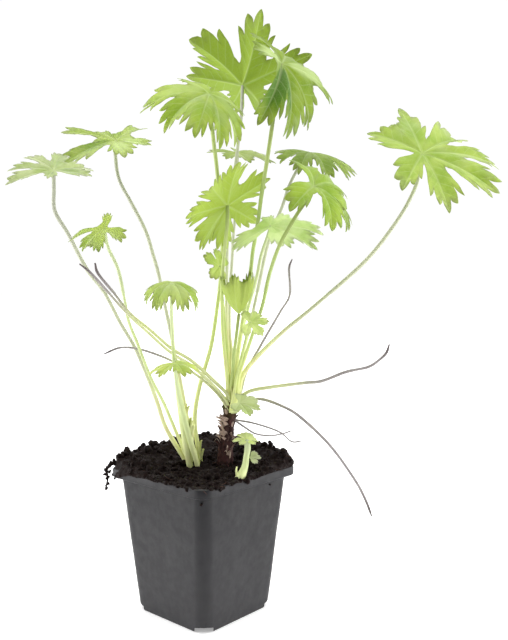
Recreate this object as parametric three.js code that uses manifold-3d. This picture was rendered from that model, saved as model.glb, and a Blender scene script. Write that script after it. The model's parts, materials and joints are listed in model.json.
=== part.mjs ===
// Hardy geranium growing in a square nursery pot: thin plastic pot, heaped potting soil, a short woody rhizome,
// lobed leaf blades on long petioles, dry old stalks and a seedling. Millimetres, +Z up, the origin at the centre
// of the pot's foot, the pot's sides parallel to X and Y.

import * as THREE from 'three';
import { mergeVertices } from 'three/addons/utils/BufferGeometryUtils.js';
import Module from 'manifold-3d';

const wasm = await Module();
wasm.setup();

// ---- driving dimensions ----

const GAP = 0.3; // clearance between pieces that touch
const DEGREE = Math.PI / 180;

const POT_HEIGHT = 100;
const POT_FOOT_HALF_WIDTH = 34.5; // outside, at the foot
const POT_NECK_HALF_WIDTH = 43.3; // outside, just under the lip
const POT_LIP_HALF_WIDTH = 47.3; // outside of the rolled lip
const POT_LIP_DEPTH = 4.6;
const POT_WALL = 1.0;
const POT_FLOOR = 1.4;
const POT_CORNER_RADIUS = 9;
const ARC_STEPS = 4; // segments in each rounded corner
const SIDE_STEPS = 4; // segments along each straight side
const DRAIN_NOTCH_WIDTH = 12.6;
const DRAIN_NOTCH_HEIGHT = 4.2;

const SOIL_FRONT_LEVEL = 101; // height of the soil along the front sides
const SOIL_BACK_RISE = 13; // how much higher the heap is behind the plant
const SOIL_CORNER_RISE = 7; // how much higher it is towards the left and right corners

const BLADE_THICKNESS = 0.8;
const SLIT_FRACTION = 0.4; // how far out from the hub the cuts between lobes start
const LOBE_HALF_SECTOR = 24; // degrees, the widest half angle of one lobe

// The plant is laid out in its own frame, turned from the pot's: x to the right and y away, seen facing a corner.
const PLANT_TURN = 41.85; // degrees about Z

const GREEN = { bright: 0xa4c244, pale: 0xbed68c, deep: 0x7da03c, young: 0xb4cf5a };

// Leaf blades. hub: where the petiole meets the blade. lean: the way the blade's face leans and by how many degrees.
// turn: the direction of the middle lobe. reach: the length of the longest lobe.
// lobes: for each one its angle about the hub, its relative length, and how many degrees it lifts and then droops.
const BLADES = {
  blade_right: {
    hub: [151, -5, 320], lean: [-84, 44], turn: 13, reach: 62, green: 'bright',
    lobes: [[-127, 0.67, 8, 35], [-86, 0.87, 7, 36], [-41, 0.97, 10, 33], [0, 1, 7, 36],
      [35, 0.98, 5, 38], [88, 0.88, 13, 29], [132, 0.68, 9, 34]],
  },
  blade_top: {
    hub: [27, 49, 378], lean: [48, 73], turn: -129, reach: 57, green: 'bright',
    lobes: [[-121, 0.6, 29, 20], [-72, 0.91, 7, 35], [-34, 0.94, 2, 45], [28, 0.99, 16, 24], [75, 1.03, 25, 11],
      [119, 0.62, -8, 49]],
  },
  blade_upper_left: {
    hub: [5, -10, 359], lean: [-45, 29], turn: -93, reach: 51, green: 'bright',
    lobes: [[-135, 0.66, 16, 54], [-83, 1.02, -4, 59], [-36, 0.92, -6, 84], [7, 1.01, 6, 62],
      [36, 0.94, 0, 73], [85, 0.84, -7, 80], [132, 0.68, 8, 60]],
  },
  blade_upper_right: {
    hub: [54, -15, 378], lean: [-41, 55], turn: 2, reach: 58, green: 'deep',
    lobes: [[-129, 0.65, 27, 45], [-78, 0.94, 2, 61], [-43, 0.93, 3, 70], [2, 0.89, 5, 73],
      [36, 1.08, 15, 40], [88, 0.86, 8, 60], [132, 0.68, 8, 60]],
  },
  blade_shaded: {
    hub: [77, 40, 327], lean: [-40, 10], turn: -61, reach: 42, green: 'deep',
    lobes: [[-132, 0.66, 10, 48], [-80, 0.74, 3, 60], [-42, 0.97, 2, 57], [-6, 0.98, 3, 58],
      [38, 0.93, 3, 59], [80, 1.03, 6, 41], [132, 0.68, 8, 50]],
  },
  blade_bright: {
    hub: [75, -30, 295], lean: [-48, 43], turn: 0, reach: 44, green: 'bright',
    lobes: [[-108, 0.8, 18, 86], [-57, 0.93, 27, 80], [-1, 1.01, 19, 88], [55, 0.94, 25, 80],
      [110, 0.78, 25, 80]],
  },
  blade_pale: {
    hub: [47, -14, 270], lean: [-102, 34], turn: 62, reach: 43, green: 'pale',
    lobes: [[-128, 0.69, 7, 26], [-98, 0.89, 1, 31], [-62, 0.89, 0, 36], [-10, 0.7, -2, 39], [33, 0.45, 1, 33],
      [133, 0.73, -5, 36]],
  },
  blade_centre: {
    hub: [18, -22, 283], lean: [141, 53], turn: -44, reach: 45, green: 'bright',
    lobes: [[-146, 0.8, -2, 26], [-99, 0.88, 6, 22], [-59, 0.9, 3, 26], [-20, 0.87, 7, 24], [55, 0.84, 11, 19],
      [110, 0.83, 6, 22], [159, 0.78, 2, 23]],
  },
  blade_left: {
    hub: [-66, 35, 335], lean: [-79, 31], turn: 134, reach: 47, green: 'bright',
    lobes: [[-141, 0.58, 13, 28], [-60, 0.93, 10, 30], [-10, 1, 10, 30], [40, 0.88, 16, 26],
      [88, 0.95, 5, 31], [158, 0.64, 11, 29]],
  },
  blade_far_left: {
    hub: [-97, -25, 306], lean: [-77, 28], turn: 132, reach: 37, green: 'pale',
    lobes: [[-130, 0.69, 8, 25], [-80, 0.88, 3, 31], [-36, 0.97, 10, 23], [0, 0.99, 9, 23],
      [40, 0.9, 6, 29], [86, 0.93, 6, 25], [135, 0.67, 8, 25]],
  },
  blade_small_left: {
    hub: [-60, -45, 266], lean: [-120, 20], turn: -142, reach: 26, green: 'bright',
    lobes: [[-138, 0.78, 15, 42], [-46, 1.05, 12, 37], [5, 0.87, 6, 60], [46, 0.96, 6, 53], [90, 0.78, 4, 55]],
  },
  blade_umbrella: {
    hub: [-16, -55, 232], lean: [-74, 12], turn: -88, reach: 28, green: 'bright',
    lobes: [[-115, 0.78, 8, 90], [-69, 0.88, 5, 97], [-25, 0.98, 9, 90], [25, 0.98, 10, 88],
      [70, 0.97, 1, 92], [115, 0.76, 8, 90]],
  },
  blade_low_left: {
    hub: [-16, -38, 179], lean: [-92, 4], turn: -81, reach: 22, green: 'young',
    lobes: [[-97, 0.91, -1, 46], [-36, 0.96, 6, 43], [14, 0.98, 8, 41], [79, 0.84, 0, 51], [140, 0.64, 8, 40]],
  },
  blade_edge: {
    hub: [23, 52, 328.5], lean: [-78, 17], turn: -14, reach: 25, green: 'pale',
    lobes: [[-160, 0.59, 4, 30], [-100, 0.82, 5, 30], [-46, 0.96, 5, 30], [0, 0.98, 5, 31], [46, 0.95, 7, 28],
      [100, 0.82, 5, 30]],
  },
  blade_young_left: {
    hub: [12, -16, 243], lean: [-45, 70], turn: 197, reach: 12, green: 'young',
    lobes: [[-120, 0.74, 8, 20], [-64, 0.89, 11, 17], [-4, 1, 10, 17], [67, 0.95, 9, 18], [120, 0.74, 8, 20]],
  },
  blade_folded: {
    hub: [25.5, -27, 211], lean: [-90, 6], turn: -32, reach: 29, green: 'young',
    lobes: [[-144, 0.9, 72, 0], [-72, 0.96, 74, 0], [0, 1, 72, 0], [72, 0.98, 76, 0], [144, 0.88, 68, 0]],
  },
  blade_young_right: {
    hub: [33, -30, 205.5], lean: [-83, 50], turn: 6, reach: 12, green: 'young',
    lobes: [[-113, 0.81, 4, 23], [-50, 0.97, 6, 22], [3, 0.97, 12, 16], [50, 0.94, 3, 26], [110, 0.78, 8, 20]],
  },
  blade_lowest: {
    hub: [26, -19, 149.5], lean: [-62, 29], turn: -10, reach: 16, green: 'pale',
    lobes: [[-96, 0.76, 12, 16], [-48, 0.95, 11, 16], [0, 0.95, 11, 18], [48, 0.97, 9, 18], [96, 0.83, 6, 22]],
  },
  blade_seedling: {
    hub: [30.5, -28, 126], lean: [-76, 24], turn: 101, reach: 10.5, green: 'young',
    lobes: [[-130, 0.7, 8, 20], [-76, 0.9, -1, 30], [-24, 1, 8, 20], [23, 1, 6, 22], [77, 0.93, 1, 27],
      [130, 0.7, 8, 20]],
  },
  blade_seedling_low: {
    hub: [33, -29.5, 114.5], lean: [-87, 40], turn: 2, reach: 7.5, green: 'pale',
    lobes: [[-46, 0.95, 12, 10], [0, 1.02, 8, 15], [46, 0.95, 4, 20]],
  },
};

// Petioles, from the blade down to where they root: section radius and the points they pass through.
const PETIOLES = {
  petiole_right: {
    radius: 1.1, blade: 'blade_right', root: 'rhizome',
    route: [[151, -5, 319], [149, -4.5, 307.5], [146, -4.5, 295.5], [134.5, -3.5, 274], [113.5, -2.5, 247],
      [77, -1.5, 214.5], [56.5, -1, 197.5], [39, -0.5, 180.5], [28, 0, 167], [24.5, 0, 153.5], [21, 0, 144]],
  },
  petiole_top: {
    radius: 1.0, blade: 'blade_top', root: 'rhizome',
    route: [[27, 49, 378], [26, 40, 352], [23.5, 30, 328], [19, 21, 290.5], [16.5, 15.5, 258], [16, 11, 226],
      [16.5, 8, 194], [18.5, 6, 168], [19.5, 4, 151], [19, 2, 142]],
  },
  petiole_upper_right: {
    radius: 1.1, blade: 'blade_upper_right', root: 'rhizome',
    route: [[54, -15, 378], [50.5, -18, 357.5], [48, -23, 338.5], [44, -27, 311.5], [41, -19, 293], [38.5, -7, 275.5],
      [36.2, -3, 262], [34.5, -2.5, 252], [33, -3.5, 237], [28, -4.5, 205.5], [23, -4, 172], [22, -4, 153],
      [20, -3, 142]],
  },
  petiole_shaded: {
    radius: 1.0, blade: 'blade_shaded', root: 'rhizome',
    route: [[77, 40, 326], [68, 37, 314.5], [61.5, 34, 302], [56, 24.5, 286], [49, 25.5, 268.5], [43, 22, 248],
      [34, 13, 206], [27, 8, 179], [23, 6.5, 153.5], [20.5, 3, 142]],
  },
  petiole_bright: {
    radius: 1.0, blade: 'blade_bright', root: 'rhizome',
    route: [[75, -30, 295], [71, -32, 287], [63, -36.5, 275.5], [52.5, -38.5, 256.5], [46.5, -31, 239],
      [41, -20, 215.5], [31, -11, 185.5], [25, -7, 166.5], [23.5, -6.5, 152.5], [20.5, -4, 142]],
  },
  petiole_pale: {
    radius: 0.9, blade: 'blade_pale', root: 'rhizome',
    route: [[47, -14, 270], [44.5, -13, 262], [40.5, -10, 250], [37.5, -7, 236], [32, -1, 215], [24, 1.5, 184],
      [20.5, 0.5, 154.5], [19.5, 0, 142]],
  },
  petiole_centre: {
    radius: 1.0, blade: 'blade_centre', root: 'rhizome',
    route: [[18, -22, 283], [18, -29, 272], [16.5, -31, 256], [14.5, -25, 231], [14, -16.5, 206],
      [15.5, -9.5, 181.5], [17, -5.5, 165], [17.5, -2.5, 150.5], [18, -1.5, 142]],
  },
  petiole_edge: {
    radius: 0.9, blade: 'blade_edge', root: 'rhizome',
    route: [[23, 52, 328.5], [23, 46, 308], [21.5, 36, 281], [20, 26, 255], [18.5, 17, 226],
      [18, 11, 197.5], [20, 6, 176.5], [20.5, 2.5, 155.5], [20, 1.5, 142]],
  },
  petiole_young_left: {
    radius: 0.8, blade: 'blade_young_left', root: 'rhizome',
    route: [[12, -16, 243], [13, -12, 233], [15, -7, 205.5], [16.5, -2.5, 181], [17.5, -1, 163],
      [17.5, 0.5, 150], [18, 0.5, 142]],
  },
  petiole_folded: {
    radius: 0.9, blade: 'blade_folded', root: 'rhizome',
    route: [[25.5, -27, 211], [23.5, -22.5, 194.5], [21.5, -14, 177], [20, -8, 164], [19.7, -5, 158],
      [19.8, -2.3, 151.5], [19.5, -1.5, 142]],
  },
  petiole_young_right: {
    radius: 0.8, blade: 'blade_young_right', root: 'rhizome',
    route: [[33, -30, 205.5], [30.5, -24, 196], [27, -16, 180.5], [23.5, -10.5, 167], [21.5, -7.5, 152.5],
      [19.5, -4, 142]],
  },
  petiole_lowest: {
    radius: 0.7, blade: 'blade_lowest', root: 'rhizome',
    route: [[26, -19, 149.5], [25, -14, 143.5], [19, -4, 141]],
  },
  petiole_upper_left: {
    radius: 1.1, blade: 'blade_upper_left', root: 'soil',
    route: [[5, -10, 359], [6.5, -9.5, 342], [8.5, -8, 324.5], [10, -5, 311.5], [12, -1, 285],
      [13, 5, 261], [12.4, 4.5, 240], [11, 0.5, 221], [5.5, -3, 187.5], [-2.5, -4, 159], [-6, -3.5, 135],
      [-3, -3, 110], [-2, -3, 98]],
  },
  petiole_left: {
    radius: 1.1, blade: 'blade_left', root: 'soil',
    route: [[-66, 35, 334], [-66, 33.5, 322.5], [-63, 30.5, 306], [-53.5, 27.5, 288.5], [-43, 24, 268],
      [-37, 21, 249], [-32, 18, 231], [-25.5, 14, 201], [-19.5, 10, 172.5], [-14.5, 7, 146],
      [-10, 5, 122.5], [-8, 4, 107.5], [-7, 4, 98]],
  },
  petiole_far_left: {
    radius: 1.1, blade: 'blade_far_left', root: 'soil',
    route: [[-97, -25, 305], [-97.5, -23.5, 293.5], [-97.5, -22, 279.5], [-89.5, -19.5, 264.5],
      [-77.5, -16.5, 240.5], [-67, -14.5, 226], [-56.5, -12, 205], [-46, -10, 186], [-37.5, -8, 164],
      [-32, -6.5, 148], [-26, -5, 129.5], [-13.5, -4, 108], [-8, -3, 98]],
  },
  petiole_small_left: {
    radius: 0.9, blade: 'blade_small_left', root: 'soil',
    route: [[-60, -45, 265], [-58.5, -41.5, 254.5], [-53, -37, 240.5], [-50, -31, 220.5], [-48, -27, 205.5],
      [-42, -22.5, 188.5], [-34, -17, 165], [-26.5, -13, 148], [-18.5, -9.5, 128], [-10.5, -7, 108],
      [-6, -6, 98]],
  },
  petiole_umbrella: {
    radius: 1.0, blade: 'blade_umbrella', root: 'soil',
    route: [[-16, -55, 231], [-17.5, -47.5, 214.5], [-17.5, -36, 190.5], [-17, -29, 173.5], [-14.5, -21, 148.5],
      [-12.5, -14.5, 127], [-9.5, -11, 107.5], [-7, -10, 98]],
  },
  petiole_low_left: {
    radius: 0.8, blade: 'blade_low_left', root: 'soil',
    route: [[-16, -38, 178], [-15.5, -32, 164], [-12.5, -22.5, 142], [-8.5, -15.5, 123.5], [-4.5, -12, 108.5],
      [-3, -10, 98]],
  },
  petiole_seedling: {
    radius: 1.3, blade: 'blade_seedling', root: 'soil',
    route: [[30.5, -28, 126], [31.5, -28.2, 121], [30.5, -29, 115], [30.3, -29, 107.5], [27, -29, 99],
      [25.5, -29, 94]],
  },
};

// Dry stalks and thin roots, from the free tip to where they join the rhizome.
const DRY_STALKS = {
  dry_stalk_long_left: {
    radius: 0.75,
    route: [[-63.5, -60, 244.5], [-62.5, -55.5, 238], [-54.5, -47, 226], [-45.5, -37.5, 212], [-33.5, -29, 200.5],
      [-20, -20, 187], [-7, -14, 178], [8, -7, 163], [17.5, -5, 152.5], [19, -2, 142]],
  },
  dry_stalk_left_twin: {
    radius: 0.7,
    route: [[-71, -70, 244], [-65.5, -64, 238.5], [-57, -53.5, 226.5], [-46.5, -42.5, 212], [-35, -33, 199.5],
      [-21, -23, 185], [-8, -16, 175.5], [7, -8.5, 160.5], [16, -5, 149], [19, -2, 140]],
  },
  dry_stalk_mid_left: {
    radius: 0.6,
    route: [[-66, -20, 183.5], [-55.5, -17.5, 187.5], [-44, -15, 186.5], [-32, -12.5, 182.5], [-21, -10.5, 177.5],
      [-4.5, -7.5, 167.5], [9, -5, 155], [16, -4, 145], [19, -2, 138]],
  },
  dry_stalk_back: {
    radius: 0.6,
    route: [[65, 60, 248.5], [62.5, 55, 241], [62.5, 43.5, 221.5], [55, 35, 209], [40.5, 20.5, 185.5],
      [30, 11, 167], [25.5, 6, 151.5], [20, 2, 140]],
  },
  dry_stalk_long_right: {
    radius: 0.75,
    route: [[129, -10, 189], [127, -9.5, 183], [121.5, -9, 177.5], [114.5, -8, 173], [99.5, -7, 169.5],
      [83, -5.5, 163], [70.5, -4.5, 161.5], [49, -3, 158.5], [33, -2.5, 155.5], [24.5, -2, 149.5], [19, -1, 144]],
  },
  dry_stalk_low_right: {
    radius: 0.7,
    route: [[110.5, -60, 84], [107.5, -53.5, 92.5], [101.5, -45, 103.5], [86.5, -30, 123], [68, -12, 138.5],
      [56.5, -1, 144], [41, 8, 148], [30, 7, 146.5], [19, 1, 141]],
  },
  root_right: {
    radius: 0.45,
    route: [[69, -5, 120.5], [62, -4.5, 120], [53.5, -3, 126.5], [37.5, -2, 132], [23.5, -1, 134.5], [17, -2, 135]],
  },
  root_back: {
    radius: 0.45,
    route: [[63, 14, 124], [55.5, 11.5, 122], [46, 8.5, 121.5], [36.5, 6, 123.5], [29, 4, 128.5], [22.5, 3, 133],
      [17, -1, 135]],
  },
};

const RHIZOME_AXIS = [[15.4, -5, 104], [15.9, -4, 117.5], [17.6, -2, 131], [18.7, -1, 141], [19.3, 0, 149]];
const RHIZOME_RADII = [8.2, 5.4, 4.7, 5.4, 5.8]; // at each point of its axis

const SAMPLE_STEP = 0.25; // how finely a route is searched for its clear stretch
const POINT_STEP = 8; // spacing of the points that its tube follows
const TUBE_STEP = 14; // length of one facet of a tube

const PALE_GREEN_STEM = 0xb9c489;
const DRY_STEM = 0x9a938f;
const RHIZOME_BROWN = 0x4a2a22;
const SOIL_BROWN = 0x2c2320;
const POT_GREY = 0x55555a;

// ---- small helpers ----

function material(color, roughness) {
  return new THREE.MeshStandardMaterial({ color, roughness, metalness: 0 });
}

function smoothStep(low, high, value) {
  const t = Math.min(1, Math.max(0, (value - low) / (high - low)));
  return t * t * (3 - 2 * t);
}

function toSolid(geometry) {
  const plain = geometry.index ? geometry.clone() : geometry;
  plain.deleteAttribute('normal');
  plain.deleteAttribute('uv');
  const merged = mergeVertices(plain, 1e-4);
  return new wasm.Manifold(new wasm.Mesh({
    numProp: 3,
    vertProperties: new Float32Array(merged.attributes.position.array),
    triVerts: new Uint32Array(merged.index.array),
  }));
}

function toGeometry(solid) {
  const mesh = solid.getMesh();
  const geometry = new THREE.BufferGeometry();
  geometry.setAttribute('position', new THREE.BufferAttribute(mesh.vertProperties, 3));
  geometry.setIndex(new THREE.BufferAttribute(mesh.triVerts, 1));
  geometry.computeVertexNormals();
  return geometry;
}

// A closed skin through rings of equal length, from the first centre point to the last centre point. From ring
// number turnedFrom on, its quads are split along their other diagonal.
function skinRings(firstCentre, rings, lastCentre, turnedFrom = rings.length) {
  const count = rings[0].length;
  const points = [firstCentre, ...rings.flat(), lastCentre];
  const last = points.length - 1;
  const at = (ring, i) => 1 + ring * count + (i % count);
  const index = [];
  for (let i = 0; i < count; i++) {
    index.push(0, at(0, i + 1), at(0, i));
    index.push(last, at(rings.length - 1, i), at(rings.length - 1, i + 1));
    for (let ring = 0; ring + 1 < rings.length; ring++) {
      const [a, b] = [at(ring, i), at(ring, i + 1)];
      const [d, c] = [at(ring + 1, i), at(ring + 1, i + 1)];
      if (ring < turnedFrom) index.push(a, b, c, a, c, d);
      else index.push(a, b, d, b, c, d);
    }
  }
  const geometry = new THREE.BufferGeometry();
  geometry.setAttribute('position', new THREE.Float32BufferAttribute(points.flat(), 3));
  geometry.setIndex(index);
  geometry.computeVertexNormals();
  return geometry;
}

// A square with rounded corners, counterclockwise from above.
function roundedSquare(halfWidth, z, radius = POT_CORNER_RADIUS) {
  const ring = [];
  const straight = halfWidth - radius;
  for (let corner = 0; corner < 4; corner++) {
    const start = corner * 90 * DEGREE;
    const middle = start + 45 * DEGREE;
    const cx = Math.SQRT2 * straight * Math.cos(middle);
    const cy = Math.SQRT2 * straight * Math.sin(middle);
    for (let i = 0; i <= ARC_STEPS; i++) {
      const angle = start + (i / ARC_STEPS) * 90 * DEGREE;
      ring.push([cx + radius * Math.cos(angle), cy + radius * Math.sin(angle), z]);
    }
    const end = start + 90 * DEGREE;
    const alongX = -Math.sin(end);
    const alongY = Math.cos(end);
    const sx = cx + radius * Math.cos(end);
    const sy = cy + radius * Math.sin(end);
    for (let i = 1; i < SIDE_STEPS; i++) {
      const step = -(i / SIDE_STEPS) * 2 * straight;
      ring.push([sx - alongX * step, sy - alongY * step, z]);
    }
  }
  return ring;
}

// ---- pot ----

function potHalfWidth(z) {
  const share = z / (POT_HEIGHT - POT_LIP_DEPTH);
  return POT_FOOT_HALF_WIDTH + (POT_NECK_HALF_WIDTH - POT_FOOT_HALF_WIDTH) * share;
}

function potBody() {
  const skirtBottom = POT_HEIGHT - POT_LIP_DEPTH;
  const flangeUnderside = POT_HEIGHT - 1.2;
  const profile = [
    [POT_FOOT_HALF_WIDTH - 1, 0],
    [POT_FOOT_HALF_WIDTH, 1],
    [POT_NECK_HALF_WIDTH, skirtBottom],
    [potHalfWidth(flangeUnderside), flangeUnderside],
    [POT_LIP_HALF_WIDTH - POT_WALL, flangeUnderside],
    [POT_LIP_HALF_WIDTH - POT_WALL, skirtBottom],
    [POT_LIP_HALF_WIDTH, skirtBottom],
    [POT_LIP_HALF_WIDTH, POT_HEIGHT - 1],
    [POT_LIP_HALF_WIDTH - 1, POT_HEIGHT],
    [potHalfWidth(POT_HEIGHT) - POT_WALL + 0.6, POT_HEIGHT],
    [potHalfWidth(POT_HEIGHT - 1) - POT_WALL, POT_HEIGHT - 1],
    [potHalfWidth(POT_FLOOR) - POT_WALL, POT_FLOOR],
  ];
  const rings = profile.map(([halfWidth, z]) => roundedSquare(halfWidth, z));
  return skinRings([0, 0, 0], rings, [0, 0, POT_FLOOR]);
}

// An arched cutter that runs out through one corner of the foot.
function drainNotchCutter(corner) {
  const half = DRAIN_NOTCH_WIDTH / 2;
  const shoulder = DRAIN_NOTCH_HEIGHT * 0.75;
  const arch = new THREE.Shape();
  arch.moveTo(-half, -2);
  arch.lineTo(half, -2);
  arch.lineTo(half, shoulder);
  arch.quadraticCurveTo(0, 2 * DRAIN_NOTCH_HEIGHT - shoulder, -half, shoulder);
  arch.closePath();
  const reach = 20;
  const geometry = new THREE.ExtrudeGeometry(arch, { depth: reach, bevelEnabled: false, curveSegments: 6 });
  const cornerDistance = Math.SQRT2 * (POT_FOOT_HALF_WIDTH - POT_CORNER_RADIUS) + POT_CORNER_RADIUS;
  geometry.rotateX(90 * DEGREE);
  geometry.rotateZ(90 * DEGREE);
  geometry.translate(cornerDistance - 4.5, 0, 0);
  geometry.rotateZ((45 + 90 * corner) * DEGREE);
  return geometry;
}

function potGeometry() {
  let solid = toSolid(potBody());
  for (let corner = 0; corner < 4; corner++) {
    solid = solid.subtract(toSolid(drainNotchCutter(corner)));
  }
  return toGeometry(solid);
}

// ---- soil ----

// Height of the heap at a place given in the plant's frame.
function soilHeight(x, y) {
  const back = SOIL_BACK_RISE * smoothStep(-35, 50, y);
  const corners = SOIL_CORNER_RISE * Math.min(1.3, (x / 58) ** 2);
  const lumps = 0.7 * Math.sin(x * 0.31 + 1) * Math.sin(y * 0.27) + 0.5 * Math.sin(x * 0.63) * Math.sin(y * 0.71 + 2);
  return SOIL_FRONT_LEVEL + back + corners + lumps;
}

function soilGeometry() {
  const inside = (z) => potHalfWidth(z) - POT_WALL - GAP;
  const toPlant = new THREE.Matrix4().makeRotationZ(-PLANT_TURN * DEGREE);
  const heap = (halfWidth) => roundedSquare(halfWidth, 0, Math.min(halfWidth * 0.5, POT_CORNER_RADIUS + 2))
    .map(([x, y]) => {
      const p = new THREE.Vector3(x, y, 0).applyMatrix4(toPlant);
      return [x, y, soilHeight(p.x, p.y)];
    });
  const floor = POT_FLOOR + GAP;
  const seat = POT_HEIGHT + GAP;
  const edge = POT_LIP_HALF_WIDTH - 0.6;
  const rings = [
    roundedSquare(inside(floor), floor),
    roundedSquare(inside(POT_HEIGHT - 2), POT_HEIGHT - 2),
    roundedSquare(inside(POT_HEIGHT), seat),
    roundedSquare(edge, seat),
    heap(edge + 0.4).map(([x, y, z]) => [x, y, seat + 0.45 * (z - seat)]),
    heap(edge - 3).map(([x, y, z]) => [x, y, seat + 0.9 * (z - seat)]),
    heap(36),
    heap(26),
    heap(14),
  ];
  return skinRings([0, 0, floor], rings, [0, 0, soilHeight(0, 0)]);
}

// ---- rhizome ----

function rhizomeAt(z) {
  const last = RHIZOME_AXIS.length - 1;
  let i = 0;
  while (i < last - 1 && z > RHIZOME_AXIS[i + 1][2]) i++;
  const [x0, y0, z0] = RHIZOME_AXIS[i];
  const [x1, y1, z1] = RHIZOME_AXIS[i + 1];
  const t = smoothStep(0, 1, (z - z0) / (z1 - z0));
  return {
    x: x0 + (x1 - x0) * t,
    y: y0 + (y1 - y0) * t,
    radius: RHIZOME_RADII[i] + (RHIZOME_RADII[i + 1] - RHIZOME_RADII[i]) * t,
  };
}

function rhizomeBottom() {
  const [x, y] = RHIZOME_AXIS[0];
  let highest = 0;
  for (let i = 0; i < 12; i++) {
    const angle = (i / 12) * 2 * Math.PI;
    const r = RHIZOME_RADII[0];
    highest = Math.max(highest, soilHeight(x + r * Math.cos(angle), y + r * Math.sin(angle)));
  }
  return highest + GAP;
}

function rhizomeGeometry() {
  const sides = 12;
  const levels = 9;
  const bottom = rhizomeBottom();
  const top = RHIZOME_AXIS[RHIZOME_AXIS.length - 1][2];
  const profile = [new THREE.Vector2(0, bottom)];
  for (let i = 0; i <= levels; i++) {
    const z = bottom + (top - bottom) * (i / levels);
    profile.push(new THREE.Vector2(rhizomeAt(z).radius, z));
  }
  profile.push(new THREE.Vector2(RHIZOME_RADII[4] * 0.6, top + 1.5));
  profile.push(new THREE.Vector2(0, top + 2));
  const geometry = new THREE.LatheGeometry(profile, sides);
  geometry.rotateX(90 * DEGREE);
  const position = geometry.attributes.position;
  for (let i = 0; i < position.count; i++) {
    const centre = rhizomeAt(position.getZ(i));
    position.setX(i, position.getX(i) + centre.x);
    position.setY(i, position.getY(i) + centre.y);
  }
  return geometry;
}

// ---- leaf blades ----

function bladeAxes(lean, turn) {
  const [azimuth, tilt] = lean.map((angle) => angle * DEGREE);
  const hinge = new THREE.Vector3(-Math.sin(azimuth), Math.cos(azimuth), 0);
  const tipUp = new THREE.Quaternion().setFromAxisAngle(hinge, tilt);
  const normal = new THREE.Vector3(0, 0, 1).applyQuaternion(tipUp);
  const along = new THREE.Vector3(Math.cos(turn * DEGREE), Math.sin(turn * DEGREE), 0).applyQuaternion(tipUp);
  const across = new THREE.Vector3().crossVectors(normal, along);
  return { normal, along, across };
}

// Lift and droop at any angle about the hub, blended smoothly from lobe to lobe.
function bladeBend(lobes, angle) {
  const first = lobes[0];
  const last = lobes[lobes.length - 1];
  const closed = [[last[0] - 360, ...last.slice(1)], ...lobes, [first[0] + 360, ...first.slice(1)]];
  let i = 0;
  while (i < closed.length - 2 && angle > closed[i + 1][0]) i++;
  const [from, to] = [closed[i], closed[i + 1]];
  const t = smoothStep(from[0], to[0], angle);
  return { lift: from[2] + (to[2] - from[2]) * t, droop: from[3] + (to[3] - from[3]) * t };
}

// A point of the blade and its own normal there. distance runs outward along the curved blade.
function bladePoint(blade, axes, angle, distance) {
  const bend = bladeBend(blade.lobes, angle);
  const lift = bend.lift * DEGREE;
  const droop = Math.max(1e-3, bend.droop * DEGREE);
  const slope = lift - droop * (distance / blade.reach);
  const out = (blade.reach / droop) * (Math.sin(lift) - Math.sin(slope));
  const up = (blade.reach / droop) * (Math.cos(slope) - Math.cos(lift));
  const ray = axes.along.clone().multiplyScalar(Math.cos(angle * DEGREE))
    .addScaledVector(axes.across, Math.sin(angle * DEGREE));
  const point = new THREE.Vector3(...blade.hub).addScaledVector(ray, out).addScaledVector(axes.normal, up);
  const normal = axes.normal.clone().multiplyScalar(Math.cos(slope)).addScaledVector(ray, -Math.sin(slope));
  return { point, normal };
}

// The blade's outline as angle and distance pairs: a side tooth, the tip and a side tooth on each lobe, a cut
// between lobes, and the deep notch where the petiole comes in.
function bladeOutline(blade) {
  const { lobes, reach } = blade;
  const outline = [];
  lobes.forEach(([angle, length], i) => {
    const next = lobes[i + 1];
    const gapBefore = i > 0 ? (angle - lobes[i - 1][0]) / 2 : LOBE_HALF_SECTOR;
    const gapAfter = next ? (next[0] - angle) / 2 : LOBE_HALF_SECTOR;
    const before = Math.min(LOBE_HALF_SECTOR, gapBefore);
    const after = Math.min(LOBE_HALF_SECTOR, gapAfter);
    if (i === 0) outline.push([angle - before, 0.45 * length * reach]);
    outline.push([angle - 0.88 * before, 0.8 * length * reach]);
    outline.push([angle, length * reach]);
    outline.push([angle + 0.88 * after, 0.8 * length * reach]);
    if (next) outline.push([(angle + next[0]) / 2, SLIT_FRACTION * reach * (length + next[1]) / 2]);
    else outline.push([angle + after, 0.45 * length * reach]);
  });
  const notchAngle = (lobes[0][0] + lobes[lobes.length - 1][0] + 360) / 2;
  outline.push([notchAngle, 0.12 * reach]);
  return outline;
}

function bladeGeometry(blade) {
  const axes = bladeAxes(blade.lean, blade.turn);
  const outline = bladeOutline(blade);
  const shares = [0.5, 1];
  const half = BLADE_THICKNESS / 2;
  const ring = (share, side) => outline.map(([angle, distance]) => {
    const { point, normal } = bladePoint(blade, axes, angle > 180 ? angle - 360 : angle, share * distance);
    return point.addScaledVector(normal, side * half).toArray();
  });
  const hub = new THREE.Vector3(...blade.hub);
  const under = hub.clone().addScaledVector(axes.normal, -half).toArray();
  const over = hub.clone().addScaledVector(axes.normal, half).toArray();
  const rings = [...shares.map((share) => ring(share, -1)), ...shares.slice().reverse().map((share) => ring(share, 1))];
  return skinRings(under, rings, over, shares.length); // both faces fold along the same lines
}

// ---- petioles and stalks ----

function routeCurve(route) {
  return new THREE.CatmullRomCurve3(route.map((p) => new THREE.Vector3(...p)), false, 'catmullrom', 0.5);
}

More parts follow.
